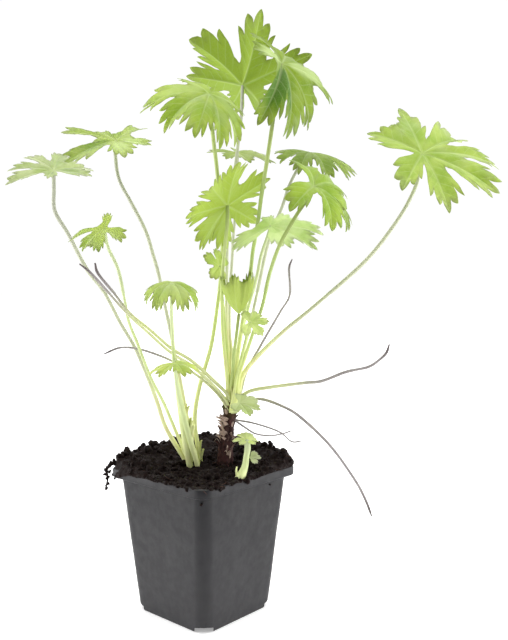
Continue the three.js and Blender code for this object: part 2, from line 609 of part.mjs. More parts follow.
function tube(points, radius) {
  const path = new THREE.CatmullRomCurve3(points, false, 'catmullrom', 0.5);
  const sides = radius > 0.7 ? 6 : 5;
  const section = new THREE.Shape();
  for (let i = 0; i < sides; i++) {
    const angle = (i / sides) * 2 * Math.PI;
    const x = radius * Math.cos(angle);
    const y = radius * Math.sin(angle);
    if (i === 0) section.moveTo(x, y);
    else section.lineTo(x, y);
  }
  section.closePath();
  const steps = Math.max(3, Math.round(path.getLength() / TUBE_STEP));
  return new THREE.ExtrudeGeometry(section, { steps, extrudePath: path, bevelEnabled: false, curveSegments: 1 });
}

function trianglesOf(geometry) {
  const position = geometry.attributes.position;
  const index = geometry.index;
  const corner = (i) => new THREE.Vector3().fromBufferAttribute(position, index ? index.getX(i) : i);
  const triangles = [];
  for (let i = 0; i < (index ? index.count : position.count); i += 3) {
    triangles.push(new THREE.Triangle(corner(i), corner(i + 1), corner(i + 2)));
  }
  return triangles;
}

// Whether the end face of a stalk, centred at a point and square to its direction, keeps the gap to a surface.
function endIsClear(point, direction, radius, triangles) {
  const foot = new THREE.Vector3();
  const nearest = new THREE.Vector3();
  let distance = Infinity;
  for (const triangle of triangles) {
    triangle.closestPointToPoint(point, foot);
    const d = foot.distanceTo(point);
    if (d < distance) {
      distance = d;
      nearest.copy(foot);
    }
  }
  const facing = point.clone().sub(nearest).divideScalar(distance).dot(direction);
  return distance > GAP + radius * Math.sqrt(Math.max(0, 1 - facing * facing));
}

// The middle part of a route, from just clear of what holds its upper end to just clear of what it roots in.
function clearRoute(route, radius, upperHolder, rootHolder) {
  const curve = routeCurve(route);
  const last = Math.round(curve.getLength() / SAMPLE_STEP);
  const samples = curve.getSpacedPoints(last);
  const isClear = (i, holder) => {
    const direction = samples[Math.min(last, i + 1)].clone().sub(samples[Math.max(0, i - 1)]).normalize();
    return endIsClear(samples[i], direction, radius, holder);
  };
  let start = 0;
  if (upperHolder) {
    start = Math.round(last / 2);
    while (start > 0 && isClear(start - 1, upperHolder)) start--;
  }
  let end = Math.round(last / 2);
  while (end < last && isClear(end + 1, rootHolder)) end++;
  const count = Math.max(4, Math.round(((end - start) * SAMPLE_STEP) / POINT_STEP));
  const points = [];
  for (let i = 0; i <= count; i++) points.push(samples[Math.round(start + ((end - start) * i) / count)]);
  return points;
}

// ---- assembly ----

const part = new THREE.Group();
const plant = new THREE.Group();
plant.rotation.z = PLANT_TURN * DEGREE;
part.add(plant);

function addPiece(group, name, geometry, color, roughness) {
  const mesh = new THREE.Mesh(geometry, material(color, roughness));
  mesh.name = name;
  group.add(mesh);
}

const soil = soilGeometry();
const rhizome = rhizomeGeometry();
addPiece(part, 'pot', potGeometry(), POT_GREY, 0.55);
addPiece(part, 'soil', soil, SOIL_BROWN, 1);
addPiece(plant, 'rhizome', rhizome, RHIZOME_BROWN, 0.85);

const holders = {
  rhizome: trianglesOf(rhizome),
  soil: trianglesOf(soil.clone().rotateZ(-PLANT_TURN * DEGREE)),
};
for (const [name, blade] of Object.entries(BLADES)) {
  const geometry = bladeGeometry(blade);
  holders[name] = trianglesOf(geometry);
  addPiece(plant, name, geometry, GREEN[blade.green], 0.6);
}
for (const [name, { radius, blade, root, route }] of Object.entries(PETIOLES)) {
  const points = clearRoute(route, radius, holders[blade], holders[root]);
  addPiece(plant, name, tube(points, radius), PALE_GREEN_STEM, 0.6);
}
for (const [name, { radius, route }] of Object.entries(DRY_STALKS)) {
  const points = clearRoute(route, radius, null, holders.rhizome);
  addPiece(plant, name, tube(points, radius), DRY_STEM, 0.8);
}

export default part;
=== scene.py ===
# Looks of a young hardy geranium in its square nursery pot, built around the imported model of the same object.
# Tables are in millimetres and degrees; every Blender mesh is in metres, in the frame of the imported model.
import json
import math

import bpy
import numpy as np
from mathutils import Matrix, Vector


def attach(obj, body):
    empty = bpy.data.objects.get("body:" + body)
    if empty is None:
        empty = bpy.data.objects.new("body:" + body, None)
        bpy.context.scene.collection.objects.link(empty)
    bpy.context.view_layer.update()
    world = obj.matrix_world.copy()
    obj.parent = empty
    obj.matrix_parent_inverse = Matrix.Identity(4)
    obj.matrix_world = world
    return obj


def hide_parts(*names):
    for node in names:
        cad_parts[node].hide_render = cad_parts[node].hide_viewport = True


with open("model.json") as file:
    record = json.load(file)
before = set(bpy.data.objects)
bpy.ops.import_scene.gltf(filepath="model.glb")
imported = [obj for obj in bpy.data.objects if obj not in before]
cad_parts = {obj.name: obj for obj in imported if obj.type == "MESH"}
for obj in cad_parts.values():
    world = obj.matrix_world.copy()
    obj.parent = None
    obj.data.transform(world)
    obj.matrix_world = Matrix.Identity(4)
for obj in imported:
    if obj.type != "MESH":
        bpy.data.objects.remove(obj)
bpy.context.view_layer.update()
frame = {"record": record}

# ---- driving dimensions, in millimetres ----

MM = 0.001
FULL_TURN = 2 * math.pi
UP = np.array([0, 0, 1.0])
PLANT_TURN = 41.85  # degrees about Z from the pot's sides to the plant's own frame, which faces a corner

POT_HEIGHT = 100
POT_FOOT_HALF_WIDTH = 34.5
POT_NECK_HALF_WIDTH = 43.3
POT_LIP_HALF_WIDTH = 47.9
POT_LIP_TOP = 101.6
POT_LIP_DEPTH = 4.6
POT_WALL = 1.0
POT_FLOOR = 6  # thick enough to close the drainage pockets
POT_CORNER_RADIUS = 9
POT_ARC_STEPS = 14
POT_SIDE_STEPS = 22
POT_ROWS_OUTSIDE = 26
POT_ROWS_INSIDE = 16
POT_BOW = 0.35  # how far a thin side bows inward at its middle
POT_DENT = 0.16  # depth of the unevenness of its sides
POT_SHARP_ANGLE = 38  # degrees between faces from which on an edge is sharp
DRAIN_NOTCH_WIDTH = 12.6
DRAIN_NOTCH_HEIGHT = 4.2
DRAIN_NOTCH_CLEARANCE = 2  # how far the cut starts below the foot
DRAIN_POCKET_DEPTH = 9
DRAIN_CUT_BEYOND = 15  # how far the cut goes on outside the pot
DRAIN_ARCH_STEPS = 9

SOIL_FRONT_LEVEL = 101
SOIL_BACK_RISE = 13
SOIL_CORNER_RISE = 7
SOIL_HALF_WIDTH = POT_LIP_HALF_WIDTH - 3.2
SOIL_FOOT = 3
SOIL_ARC_STEPS = 16
SOIL_SIDE_STEPS = 90
SOIL_RINGS = 62
# The rings that hang over the lip: share of the way outward and of the way down.
SOIL_OVERHANG = [(0.3, 0.1), (0.6, 0.28), (0.84, 0.5), (0.97, 0.72), (1.02, 0.9), (0.93, 1.0), (0.6, 0.98)]
CRUMBS_ON_TOP = 700
CLODS_ON_TOP = 60
CRUMBS_AT_RIM = 240
SOIL_FIBRES = 46

BLADE_THICKNESS = 0.36
BLADE_RING_SPACING = 2.9
BLADE_RINGS = (7, 20)  # fewest and most
SLIT_FRACTION = 0.39  # how far out from the hub a cut starts that isn't in the table
OPEN_SLIT = 0.2  # how wide such a cut may be
USUAL_OPENING = 0.05  # the same width for the deep notch at the petiole
BACK_SLIT = 0.2  # how far out the lobes beside that notch start
NOTCH_DISTANCE = 0.1  # distance of the notch's bottom from the hub, as a share of the blade's reach
ROUND_HUB = 0.4  # share of the reach within which the mesh's rings become round
LOBE_HALF_SECTOR = 31  # degrees, the widest half angle of one lobe
LEAST_DROOP = 0.1  # degrees, because a blade is bent as an arc
VEIN_SPACING = 0.125  # between side veins along a lobe, as a share of the blade's reach
VEIN_SLOPE = 0.95  # how far a side vein runs along the lobe for each step across it
OUTLINE_STEPS = 5  # samples on each edge of a tooth
TOOTH_EASE = (1.3, 0.6)  # powers of the curve that rounds a tooth's tip
PLEAT = 0.05  # height of the folds at the main veins, as a share of the blade's reach, like the next four
QUILT = 0.0085  # of the panels between side veins
RIPPLE = 0.014  # of the waves along the margin
LOBE_TWIST = 0.09  # of a lobe's sides at its tip
TIP_DROOP = 0.16  # the most that a lobe's tip bends down
LEAF_PASSING = 0.4  # share of the light that shines through a blade
MOST_BLOOM = 0.6  # strength of the sheen on the palest blades

# Half a lobe's outline from its tip to its cut: share of the half sector and share of the lobe's length.
# Tips and notches take turns.
LOBE_TEETH = [(0, 1.0), (0.22, 0.83), (0.46, 0.94), (0.62, 0.69), (0.9, 0.81)]
YOUNG_TEETH = [(0, 1.0), (0.28, 0.87), (0.52, 0.93), (0.78, 0.77), (0.95, 0.8)]
YOUNG_REACH = 16  # blades up to this long have the simpler teeth

PETIOLE_SIDES = 14
LONG_PETIOLE = 60  # those that are longer have sheaths near their foot
STALK_SIDES = 12
RIBS = 5
CAP_LIFT = 0.4  # how far a stalk's end bulges, as a share of its radius
CURVE_STEPS = 24  # samples between two points of a route

WAVES_PER_OCTAVE = 5
OCTAVE_AMPLITUDE = 0.55  # from one octave of noise to the next
OCTAVE_SCALE = 0.47

# Random seeds. Each blade, petiole or stalk adds its number in the table.
RHIZOME_SEED = 7
SOIL_SEED = 21
LEAF_SEED = 100
BEND_SEED = 200
GIRTH_SEED = 300
STALK_SEED = 400
SHEATH_SEED = 500

# ---- the plant, in its own frame: x to the right and y away, seen facing a corner of the pot ----

# tone: upper colour, partly the blade's own green and partly painted light and shade for how brightly it is
# lit.
# Leaf blades. hub: where the petiole meets the blade. lean: the way the blade's face leans and by how many
# degrees. turn: the direction of the middle lobe. reach: the length of the longest lobe.
# lobes: for each one its angle about the hub, its relative length, and how many degrees it lifts and droops.
# cuts: for each cut between two lobes, how far out it starts and how wide it is. opening: the same width for
# the deep notch at the petiole. pointed: how much a lobe narrows to its tip, by the lobe's angle.
# deep: angle, half width and depth of painted shade; painted highlights have a negative depth.
# tip_droop: how much the lobes' tips bend down, as a share of what is usual.
BLADES = {
    "right": dict(
        hub=(151, -5, 320), lean=(-84, 44), turn=13, reach=62, tone=(184, 204, 97),
        lobes=[(-127, 0.67, 8, 35), (-86, 0.87, 7, 36), (-41, 0.97, 10, 33), (0, 1, 7, 36),
               (35, 0.98, 5, 38), (88, 0.92, 12, 24), (132, 0.72, 9, 30)],
        cuts=[(0.3, 0.12), (0.36, 0.2), (0.45, 0.14), (0.34, 0.36), (0.25, 0.12), (0.62, 0.12)],
        pointed={88: 0.26, -127: 0.08, 132: 0.1}, deep=[(-86, 22, 0.15), (110, 40, 0.25)],
    ),
    "top": dict(
        hub=(27, 49, 378), lean=(48, 73), turn=-129, reach=57, tone=(150, 176, 24),
        lobes=[(-121, 0.6, 29, 20), (-75, 0.91, 7, 33), (-38, 0.94, 2, 42), (27, 1.0, 16, 20),
               (75, 1.03, 25, 11), (119, 0.62, -8, 49)],
        cuts=[(0.5, 0.1), (0.46, 0.02), (0.3, 0.12), (0.45, 0.2), (0.4, 0.2)], pointed={27: 0.06},
    ),
    "upper_left": dict(
        hub=(5, -10, 359), lean=(-45, 29), turn=-93, reach=51, tone=(180, 200, 80),
        lobes=[(-135, 0.66, 16, 54), (-83, 1.02, -4, 59), (-36, 0.92, -6, 84), (7, 1.01, 6, 62),
               (36, 0.94, 0, 73), (85, 0.84, -7, 80), (132, 0.68, 8, 60)],
        cuts=[(0.4, 0.1), (0.48, 0.06), (0.7, 0.03), (0.7, 0.03), (0.5, 0.2), (0.4, 0.1)],
        deep=[(-100, 34, -0.4), (100, 34, -0.5), (0, 52, 0.2)],
    ),
    "upper_right": dict(
        hub=(54, -15, 378), lean=(-41, 55), turn=2, reach=58, tone=(146, 171, 44),
        lobes=[(-129, 0.65, 27, 45), (-78, 0.94, 2, 61), (-43, 0.93, 3, 70), (2, 0.89, 5, 73),
               (36, 1.08, 15, 40), (88, 0.86, 8, 60), (132, 0.68, 8, 60)],
        cuts=[(0.3, 0.55), (0.55, 0.06), (0.6, 0.05), (0.5, 0.2), (0.3, 0.5), (0.3, 0.75)],
        opening=0.6, deep=[(-67, 31, 1.0), (36, 26, -0.6), (-129, 26, -0.6)],
    ),
    "shaded": dict(
        hub=(77, 40, 327), lean=(-40, 10), turn=-61, reach=42, tone=(153, 176, 70),
        lobes=[(-132, 0.66, 10, 48), (-80, 0.74, 3, 60), (-42, 0.97, 2, 57), (-6, 0.98, 3, 58),
               (38, 0.93, 3, 59), (80, 1.03, 6, 41), (132, 0.68, 8, 50)],
        cuts=[(0.45, 0.2), (0.55, 0.1), (0.6, 0.1), (0.6, 0.1), (0.5, 0.15), (0.4, 0.2)],
    ),
    "bright": dict(
        hub=(75, -30, 295), lean=(-48, 43), turn=0, reach=44, tone=(168, 194, 66),
        lobes=[(-108, 0.8, 18, 86), (-57, 0.93, 27, 80), (-1, 1.01, 19, 88), (55, 0.94, 25, 80),
               (110, 0.78, 25, 80)],
        cuts=[(0.35, 0.35), (0.6, 0.1), (0.55, 0.12), (0.4, 0.3)],
    ),
    "pale": dict(
        hub=(47, -14, 270), lean=(-102, 34), turn=62, reach=43, tone=(230, 242, 198),
        lobes=[(-128, 0.69, 7, 26), (-98, 0.89, 1, 31), (-62, 0.89, 0, 36), (-10, 0.7, -2, 39),
               (33, 0.45, 1, 33), (133, 0.73, -5, 36)],
        cuts=[(0.7, 0.12), (0.7, 0.1), (0.6, 0.2), (0.4, 0.2), (0.4, 0.3)],
    ),
    "centre": dict(
        hub=(18, -22, 283), lean=(141, 53), turn=-44, reach=45, tone=(178, 200, 54),
        lobes=[(-146, 0.8, -2, 26), (-99, 0.88, 6, 22), (-59, 0.9, 3, 26), (-20, 0.87, 7, 24),
               (55, 0.84, 11, 19), (110, 0.83, 6, 22), (159, 0.78, 2, 23)],
        cuts=[(0.42, 0.08), (0.42, 0.1), (0.6, 0.06), (0.42, 0.2), (0.38, 0.12), (0.42, 0.1)],
        deep=[(-146, 34, -0.3), (159, 30, -0.35)],
    ),
    "left": dict(
        hub=(-66, 35, 335), lean=(-79, 31), turn=134, reach=47, tone=(180, 197, 104),
        lobes=[(-141, 0.58, 13, 28), (-60, 0.93, 10, 30), (-10, 0.6, 2, 24), (40, 0.9, 15, 26),
               (88, 0.98, 5, 31), (158, 0.64, 11, 29)],
        cuts=[(0.35, 0.45), (0.3, 0.6), (0.4, 0.62), (0.3, 0.5), (0.35, 0.08)],
        deep=[(88, 28, 0.45), (-141, 40, -0.6), (158, 30, -0.6)],
    ),
    "far_left": dict(
        hub=(-97, -25, 306), lean=(-77, 28), turn=132, reach=37, tone=(196, 206, 158),
        lobes=[(-130, 0.69, 8, 25), (-80, 0.88, 3, 31), (-36, 0.97, 10, 23), (0, 0.99, 9, 23),
               (40, 0.9, 6, 29), (86, 0.93, 6, 25), (135, 0.4, 8, 25)],
        cuts=[(0.4, 0.2), (0.4, 0.2), (0.35, 0.3), (0.35, 0.25), (0.4, 0.2), (0.4, 0.2)],
        deep=[(-130, 40, 0.4), (135, 30, 0.25), (-36, 40, 0.2)],
    ),
    "small_left": dict(
        hub=(-60, -45, 266), lean=(-120, 20), turn=-142, reach=26, tone=(182, 200, 94),
        lobes=[(-138, 0.56, 38, 4), (-46, 1.05, 12, 37), (5, 0.87, 6, 60), (46, 0.96, 6, 53),
               (90, 0.78, 4, 55)],
        cuts=[(0.3, 0.35), (0.3, 0.35), (0.8, 0.06), (0.35, 0.35)],
    ),
    "umbrella": dict(
        hub=(-16, -55, 232), lean=(-74, 12), turn=-88, reach=28, tone=(192, 208, 116),
        lobes=[(-115, 0.78, 8, 90), (-69, 0.88, 5, 97), (-25, 0.98, 9, 90), (25, 0.98, 10, 88),
               (70, 0.97, 1, 92), (115, 0.76, 8, 90)],
        cuts=[(0.55, 0.15), (0.6, 0.1), (0.62, 0.1), (0.6, 0.12), (0.5, 0.2)],
    ),
    "low_left": dict(
        hub=(-16, -38, 179), lean=(-92, 4), turn=-81, reach=22, tone=(220, 230, 132),
        lobes=[(-97, 0.91, -1, 46), (-36, 0.96, 6, 43), (14, 0.98, 8, 41), (79, 0.84, 0, 51),
               (140, 0.64, 8, 40)],
    ),
    "edge": dict(
        hub=(23, 52, 328.5), lean=(-78, 21), turn=-14, reach=26, tone=(180, 194, 118),
        lobes=[(-160, 0.9, 6, 12), (-100, 0.74, 5, 18), (-46, 0.84, 5, 20), (0, 1.2, 5, 20),
               (46, 0.95, 4, 22), (100, 0.82, 4, 22)],
        cuts=[(0.5, 0.1), (0.6, 0.05), (0.6, 0.05), (0.5, 0.1), (0.5, 0.1)],
    ),
    "young_left": dict(
        hub=(12, -16, 243), lean=(-45, 70), turn=197, reach=14.5, tone=(212, 225, 140),
        lobes=[(-120, 0.74, 8, 20), (-64, 0.89, 11, 17), (-4, 1, 10, 17), (67, 0.95, 9, 18),
               (120, 0.74, 8, 20)],
    ),
    "folded": dict(
        hub=(25.5, -27, 211), lean=(-90, 6), turn=-32, reach=31, tone=(186, 206, 76), tip_droop=0.2,
        lobes=[(-144, 0.93, 43, -52), (-72, 1, 46, -50), (0, 1.02, 45, -48), (72, 1, 48, -50),
               (144, 0.92, 42, -54)],
        cuts=[(0.78, 0.03), (0.78, 0.03), (0.78, 0.03), (0.78, 0.03)],
    ),
    "young_right": dict(
        hub=(33, -30, 205.5), lean=(-83, 50), turn=6, reach=13.5, tone=(228, 238, 172),
        lobes=[(-113, 0.81, 4, 23), (-50, 0.97, 6, 22), (3, 0.97, 12, 16), (50, 0.94, 3, 26),
               (110, 0.78, 8, 20)],
    ),
    "lowest": dict(
        hub=(26, -19, 149.5), lean=(-62, 29), turn=-10, reach=16, tone=(212, 222, 168),
        lobes=[(-96, 0.76, 12, 16), (-48, 0.95, 11, 16), (0, 0.95, 11, 18), (48, 0.97, 9, 18),
               (96, 0.83, 6, 22)],
    ),
    "seedling": dict(
        hub=(30.5, -28, 126), lean=(-76, 24), turn=101, reach=10.5, tone=(232, 240, 172),
        lobes=[(-130, 0.7, 8, 20), (-76, 0.9, -1, 30), (-24, 1, 8, 20), (23, 1, 6, 22), (77, 0.93, 1, 27),
               (130, 0.7, 8, 20)],
    ),
    "seedling_low": dict(
        hub=(33, -29.5, 114.5), lean=(-87, 40), turn=2, reach=7.5, tone=(214, 218, 184),
        lobes=[(-46, 0.95, 12, 10), (0, 1.02, 8, 15), (46, 0.95, 4, 20)],
    ),
}

# Petioles: section radius, tone and the points that they pass through on the way from the blade's hub, where
# they start, to where they root. drop: how far below the hub they start. swell: how much thicker the lower
# part is.
PETIOLES = {
    "right": dict(radius=1.1, tone="olive", drop=1, route=[
        (149, -4.5, 307.5), (146, -4.5, 295.5), (134.5, -3.5, 274), (113.5, -2.5, 247), (77, -1.5, 214.5),
        (56.5, -1, 197.5), (39, -0.5, 180.5), (28, 0, 167), (24.5, 0, 153.5), (21, 0, 144)]),
    "top": dict(radius=1.0, tone="grey", route=[
        (26, 40, 352), (23.5, 30, 328), (19, 21, 290.5), (16.5, 15.5, 258), (16, 11, 226), (16.5, 8, 194),
        (18.5, 6, 168), (19.5, 4, 151), (19, 2, 142)]),
    "upper_right": dict(radius=1.1, tone="deep", route=[
        (50.5, -18, 357.5), (48, -23, 338.5), (44, -27, 311.5), (41, -19, 293), (38.5, -7, 275.5),
        (36.2, -3, 262), (34.5, -2.5, 252), (33, -3.5, 237), (28, -4.5, 205.5), (23, -4, 172), (22, -4, 153),
        (20, -3, 142)]),
    "shaded": dict(radius=1.0, tone="grey", drop=1, route=[
        (68, 37, 314.5), (61.5, 34, 302), (56, 24.5, 286), (49, 25.5, 268.5), (43, 22, 248), (34, 13, 206),
        (27, 8, 179), (23, 6.5, 153.5), (20.5, 3, 142)]),
    "bright": dict(radius=1.0, tone="deep", route=[
        (71, -32, 287), (63, -36.5, 275.5), (52.5, -38.5, 256.5), (46.5, -31, 239), (41, -20, 215.5),
        (31, -11, 185.5), (25, -7, 166.5), (23.5, -6.5, 152.5), (20.5, -4, 142)]),
    "pale": dict(radius=0.9, tone="pale", route=[
        (44.5, -13, 262), (40.5, -10, 250), (37.5, -7, 236), (32, -1, 215), (24, 1.5, 184),
        (20.5, 0.5, 154.5), (19.5, 0, 142)]),
    "centre": dict(radius=1.0, tone="fresh", route=[
        (18, -29, 272), (16.5, -31, 256), (14.5, -25, 231), (14, -16.5, 206), (15.5, -9.5, 181.5),
        (17, -5.5, 165), (17.5, -2.5, 150.5), (18, -1.5, 142)]),
    "edge": dict(radius=0.9, tone="grey", route=[
        (23, 46, 308), (21.5, 36, 281), (20, 26, 255), (18.5, 17, 226), (18, 11, 197.5), (20, 6, 176.5),
        (20.5, 2.5, 155.5), (20, 1.5, 142)]),
    "young_left": dict(radius=0.8, tone="fresh", route=[
        (13, -12, 233), (15, -7, 205.5), (16.5, -2.5, 181), (17.5, -1, 163), (17.5, 0.5, 150),
        (18, 0.5, 142)]),
    "folded": dict(radius=0.9, tone="deep", route=[
        (23.5, -22.5, 194.5), (21.5, -14, 177), (20, -8, 164), (19.7, -5, 158), (19.8, -2.3, 151.5),
        (19.5, -1.5, 142)]),
    "young_right": dict(radius=0.8, tone="fresh", route=[
        (30.5, -24, 196), (27, -16, 180.5), (23.5, -10.5, 167), (21.5, -7.5, 152.5), (19.5, -4, 142)]),
    "lowest": dict(radius=0.7, tone="pale", route=[
        (25, -14, 143.5), (19, -4, 141)]),
    "upper_left": dict(radius=1.1, tone="fresh", route=[
        (6.5, -9.5, 342), (8.5, -8, 324.5), (10, -5, 311.5), (12, -1, 285), (13, 5, 261), (12.4, 4.5, 240),
        (11, 0.5, 221), (5.5, -3, 187.5), (-2.5, -4, 159), (-6, -3.5, 135), (-3, -3, 110), (-2, -3, 98)]),
    "left": dict(radius=1.1, tone="grey", drop=1, route=[
        (-66, 33.5, 322.5), (-63, 30.5, 306), (-53.5, 27.5, 288.5), (-43, 24, 268), (-37, 21, 249),
        (-32, 18, 231), (-25.5, 14, 201), (-19.5, 10, 172.5), (-14.5, 7, 146), (-10, 5, 122.5),
        (-8, 4, 107.5), (-7, 4, 98)]),
    "far_left": dict(radius=1.1, tone="grey", drop=1, route=[
        (-97.5, -23.5, 293.5), (-97.5, -22, 279.5), (-89.5, -19.5, 264.5), (-77.5, -16.5, 240.5),
        (-67, -14.5, 226), (-56.5, -12, 205), (-46, -10, 186), (-37.5, -8, 164), (-32, -6.5, 148),
        (-26, -5, 129.5), (-13.5, -4, 108), (-8, -3, 98)]),
    "small_left": dict(radius=0.9, tone="pale", drop=1, route=[
        (-58.5, -41.5, 254.5), (-53, -37, 240.5), (-50, -31, 220.5), (-48, -27, 205.5), (-42, -22.5, 188.5),
        (-34, -17, 165), (-26.5, -13, 148), (-18.5, -9.5, 128), (-10.5, -7, 108), (-6, -6, 98)]),
    "umbrella": dict(radius=1.0, tone="pale", swell=1.0, drop=1, route=[
        (-17.5, -47.5, 214.5), (-17.5, -36, 190.5), (-17, -29, 173.5), (-14.5, -21, 148.5),
        (-12.5, -14.5, 127), (-9.5, -11, 107.5), (-7, -10, 98)]),
    "low_left": dict(radius=0.8, tone="pale", swell=1.0, drop=1, route=[
        (-15.5, -32, 164), (-12.5, -22.5, 142), (-8.5, -15.5, 123.5), (-4.5, -12, 108.5), (-3, -10, 98)]),
    "seedling": dict(radius=1.75, tone="pale", route=[
        (31.3, -28.4, 121), (30.3, -30, 115), (29.2, -32, 108.5), (26.4, -34.6, 102), (24.2, -33, 97.5)]),
}

SEEDLING_SHOOT = [(25.6, -35, 98), (24.8, -35.2, 102), (23.8, -35, 106.5), (24.2, -34.6, 109.5)]

# Dry stalks and thin roots, from the free tip to where they join the rhizome.
# fresh: how green the inner part still is, and from which share of the length on.
# dark_tip: how dark the tip is, where it isn't as dark as usual.
DRY_STALKS = {
    "dry_stalk_long_left": dict(radius=0.95, fresh=(0.95, 0.12), route=[
        (-63.5, -60, 244.5), (-62.5, -55.5, 238), (-54.5, -47, 226), (-45.5, -37.5, 212), (-33.5, -29, 200.5),
        (-20, -20, 187), (-7, -14, 178), (8, -7, 163), (17.5, -5, 152.5), (19, -2, 142)]),
    "dry_stalk_left_twin": dict(radius=0.9, fresh=(0.9, 0.14), route=[
        (-71, -70, 244), (-65.5, -64, 238.5), (-57, -53.5, 226.5), (-46.5, -42.5, 212), (-35, -33, 199.5),
        (-21, -23, 185), (-8, -16, 175.5), (7, -8.5, 160.5), (16, -5, 149), (19, -2, 140)]),
    "dry_stalk_mid_left": dict(radius=0.8, fresh=(0.75, 0.3), route=[
        (-66, -20, 183.5), (-55.5, -17.5, 187.5), (-44, -15, 186.5), (-32, -12.5, 182.5), (-21, -10.5, 177.5),
        (-4.5, -7.5, 167.5), (9, -5, 155), (16, -4, 145), (19, -2, 138)]),
    "dry_stalk_back": dict(radius=0.8, fresh=(0.6, 0.55), route=[
        (65, 60, 248.5), (62.5, 55, 241), (62.5, 43.5, 221.5), (55, 35, 209), (40.5, 20.5, 185.5),
        (30, 11, 167), (25.5, 6, 151.5), (20, 2, 140)]),
    "dry_stalk_long_right": dict(radius=1.1, fresh=(0.92, 0.42), route=[
        (129, -10, 189), (127, -9.5, 183), (121.5, -9, 177.5), (114.5, -8, 173), (99.5, -7, 169.5),
        (83, -5.5, 163), (70.5, -4.5, 161.5), (49, -3, 158.5), (33, -2.5, 155.5), (24.5, -2, 149.5),
        (19, -1, 144)]),
    "dry_stalk_low_right": dict(radius=0.85, fresh=(0.3, 0.6), route=[
        (110.5, -60, 84), (107.5, -53.5, 92.5), (101.5, -45, 103.5), (86.5, -30, 123), (68, -12, 138.5),
        (56.5, -1, 144), (41, 8, 148), (30, 7, 146.5), (19, 1, 141)]),
    "root_right": dict(radius=0.62, dark_tip=0.17, route=[
        (69, -5, 120.5), (62, -4.5, 120), (53.5, -3, 126.5), (37.5, -2, 132), (23.5, -1, 134.5),
        (17, -2, 135)]),
    "root_back": dict(radius=0.6, dark_tip=0.17, route=[
        (63, 14, 124), (55.5, 11.5, 122), (46, 8.5, 121.5), (36.5, 6, 123.5), (29, 4, 128.5), (22.5, 3, 133),
        (17, -1, 135)]),
}

RHIZOME_AXIS = [(15.4, -5, 104), (15.9, -4, 117.5), (17.6, -2, 131), (18.7, -1, 141), (19.3, 0, 149)]
RHIZOME_RADII = [6.4, 4.9, 4.4, 4.7, 4.9]
RHIZOME_SIDES = 72
RHIZOME_ROWS = 64

# Papery scales on the rhizome. Lowest and highest height, bearing in radians, tone, curl, length and width.
BARK_SCALE = [(108, 142), (0, FULL_TURN), (0.1, 0.4), (0.1, 0.6), (4, 8), (2.5, 4.8)]
PALE_SCALE = [(108, 142), (0, FULL_TURN), (0.45, 0.8), (0.1, 0.6), (4, 8), (2.5, 4.8)]
LEFT_SCALE = [(120, 135), tuple(np.radians((150, 250))), (0.75, 1.0), (0.4, 1.1), (4.5, 8), (2.4, 4.2)]
BARK_SCALES = 46
LEFT_SCALES = 20  # on the side towards the left cluster of petioles
ROOTLETS = 34
SCALE_GRID = (7, 5)  # points along and across
SCALE_HALF_THICKNESS = 0.12

# Clods on the heap: x, y, how far their middle is above it, and size.
SOIL_CLODS = [
    (43, 16, 1.6, 3.6), (39, 20, 0.8, 2.8), (47, 12, 0.4, 2.4), (57, 2, 1.2, 3.2), (53, 7, 0.5, 2.4),
    (60, -3, 0.4, 2.2), (-38, 20, 1.4, 3.2), (-32, 26, 1.6, 3.4), (-25, 33, 1.0, 3.0), (-46, 12, 0.8, 2.8),
    (-55, 3, 0.9, 2.8), (-58, -5, 0.5, 2.6), (-12, 46, 1.2, 3.2), (6, 50, 0.8, 3.0), (22, 37, 1.2, 3.0),
    (-19, 38, 0.6, 2.6), (-52, -1, 0.6, 3.0), (14, 44, 1.0, 2.8), (31, 28, 0.9, 2.6),
]

# Crumbs that cling to the pot: place and size.
CLINGING_CRUMBS = [
    ((-29.3, -38.6, 101.2), 1.1), ((2, -58, 90.8), 1.1), ((46.5, -14.9, 92.2), 0.9), ((4, -59.5, 101), 1.8),
    ((-14, -52, 101), 1.6), ((24, -42, 101.5), 1.9), ((-39, -28, 100.5), 1.3), ((31, -36, 100.8), 1.2),
]

# A root that hangs over the left corner, and the crumbs beside it.
STRAND_ROUTE = [(-61, -1, 104), (-65, -1.5, 104), (-68, -1.5, 100.5), (-68.6, -1.5, 96), (-68.2, -1.5, 92),
                (-69.6, -1.5, 85.5)]
STRAND_CRUMBS = [(-64.5, -1, 95.5), (-63, -2, 93), (-66, -2, 98.5)]


# ---- small helpers ----

def smooth_step(low, high, value):
    """0 at low, 1 at high and an S-curve between them. low may be the larger of the two."""
    t = np.clip((np.asarray(value, float) - low) / (high - low), 0, 1)
    return t * t * (3 - 2 * t)


def turned(points, degrees):
    """Points turned about Z, counterclockwise from above."""
    c, s = math.cos(math.radians(degrees)), math.sin(math.radians(degrees))
    x, y, z = np.moveaxis(np.asarray(points, float), -1, 0)
    return np.stack([c * x - s * y, s * x + c * y, z], axis=-1)


def from_plant(points):
    """Millimetres in the plant's frame to metres in the part's frame."""
    return turned(points, PLANT_TURN) * MM


def to_plant(points):
    """Millimetres in the part's frame to millimetres in the plant's frame."""
    return turned(points, -PLANT_TURN)


def bearing(angle):
    """Level unit vector at an angle in radians."""
    return np.array([math.cos(angle), math.sin(angle), 0])


def beside(angle):
    """Level unit vector a quarter turn further than the bearing."""
    return np.array([-math.sin(angle), math.cos(angle), 0])


def unit(vectors):
    """The given vectors, each at length 1."""
    vectors = np.asarray(vectors, float)
    return vectors / np.maximum(np.linalg.norm(vectors, axis=-1, keepdims=True), 1e-9)


def level(vectors):
    """The given vectors laid level, as unit vectors."""
    return unit(vectors * (1, 1, 0))


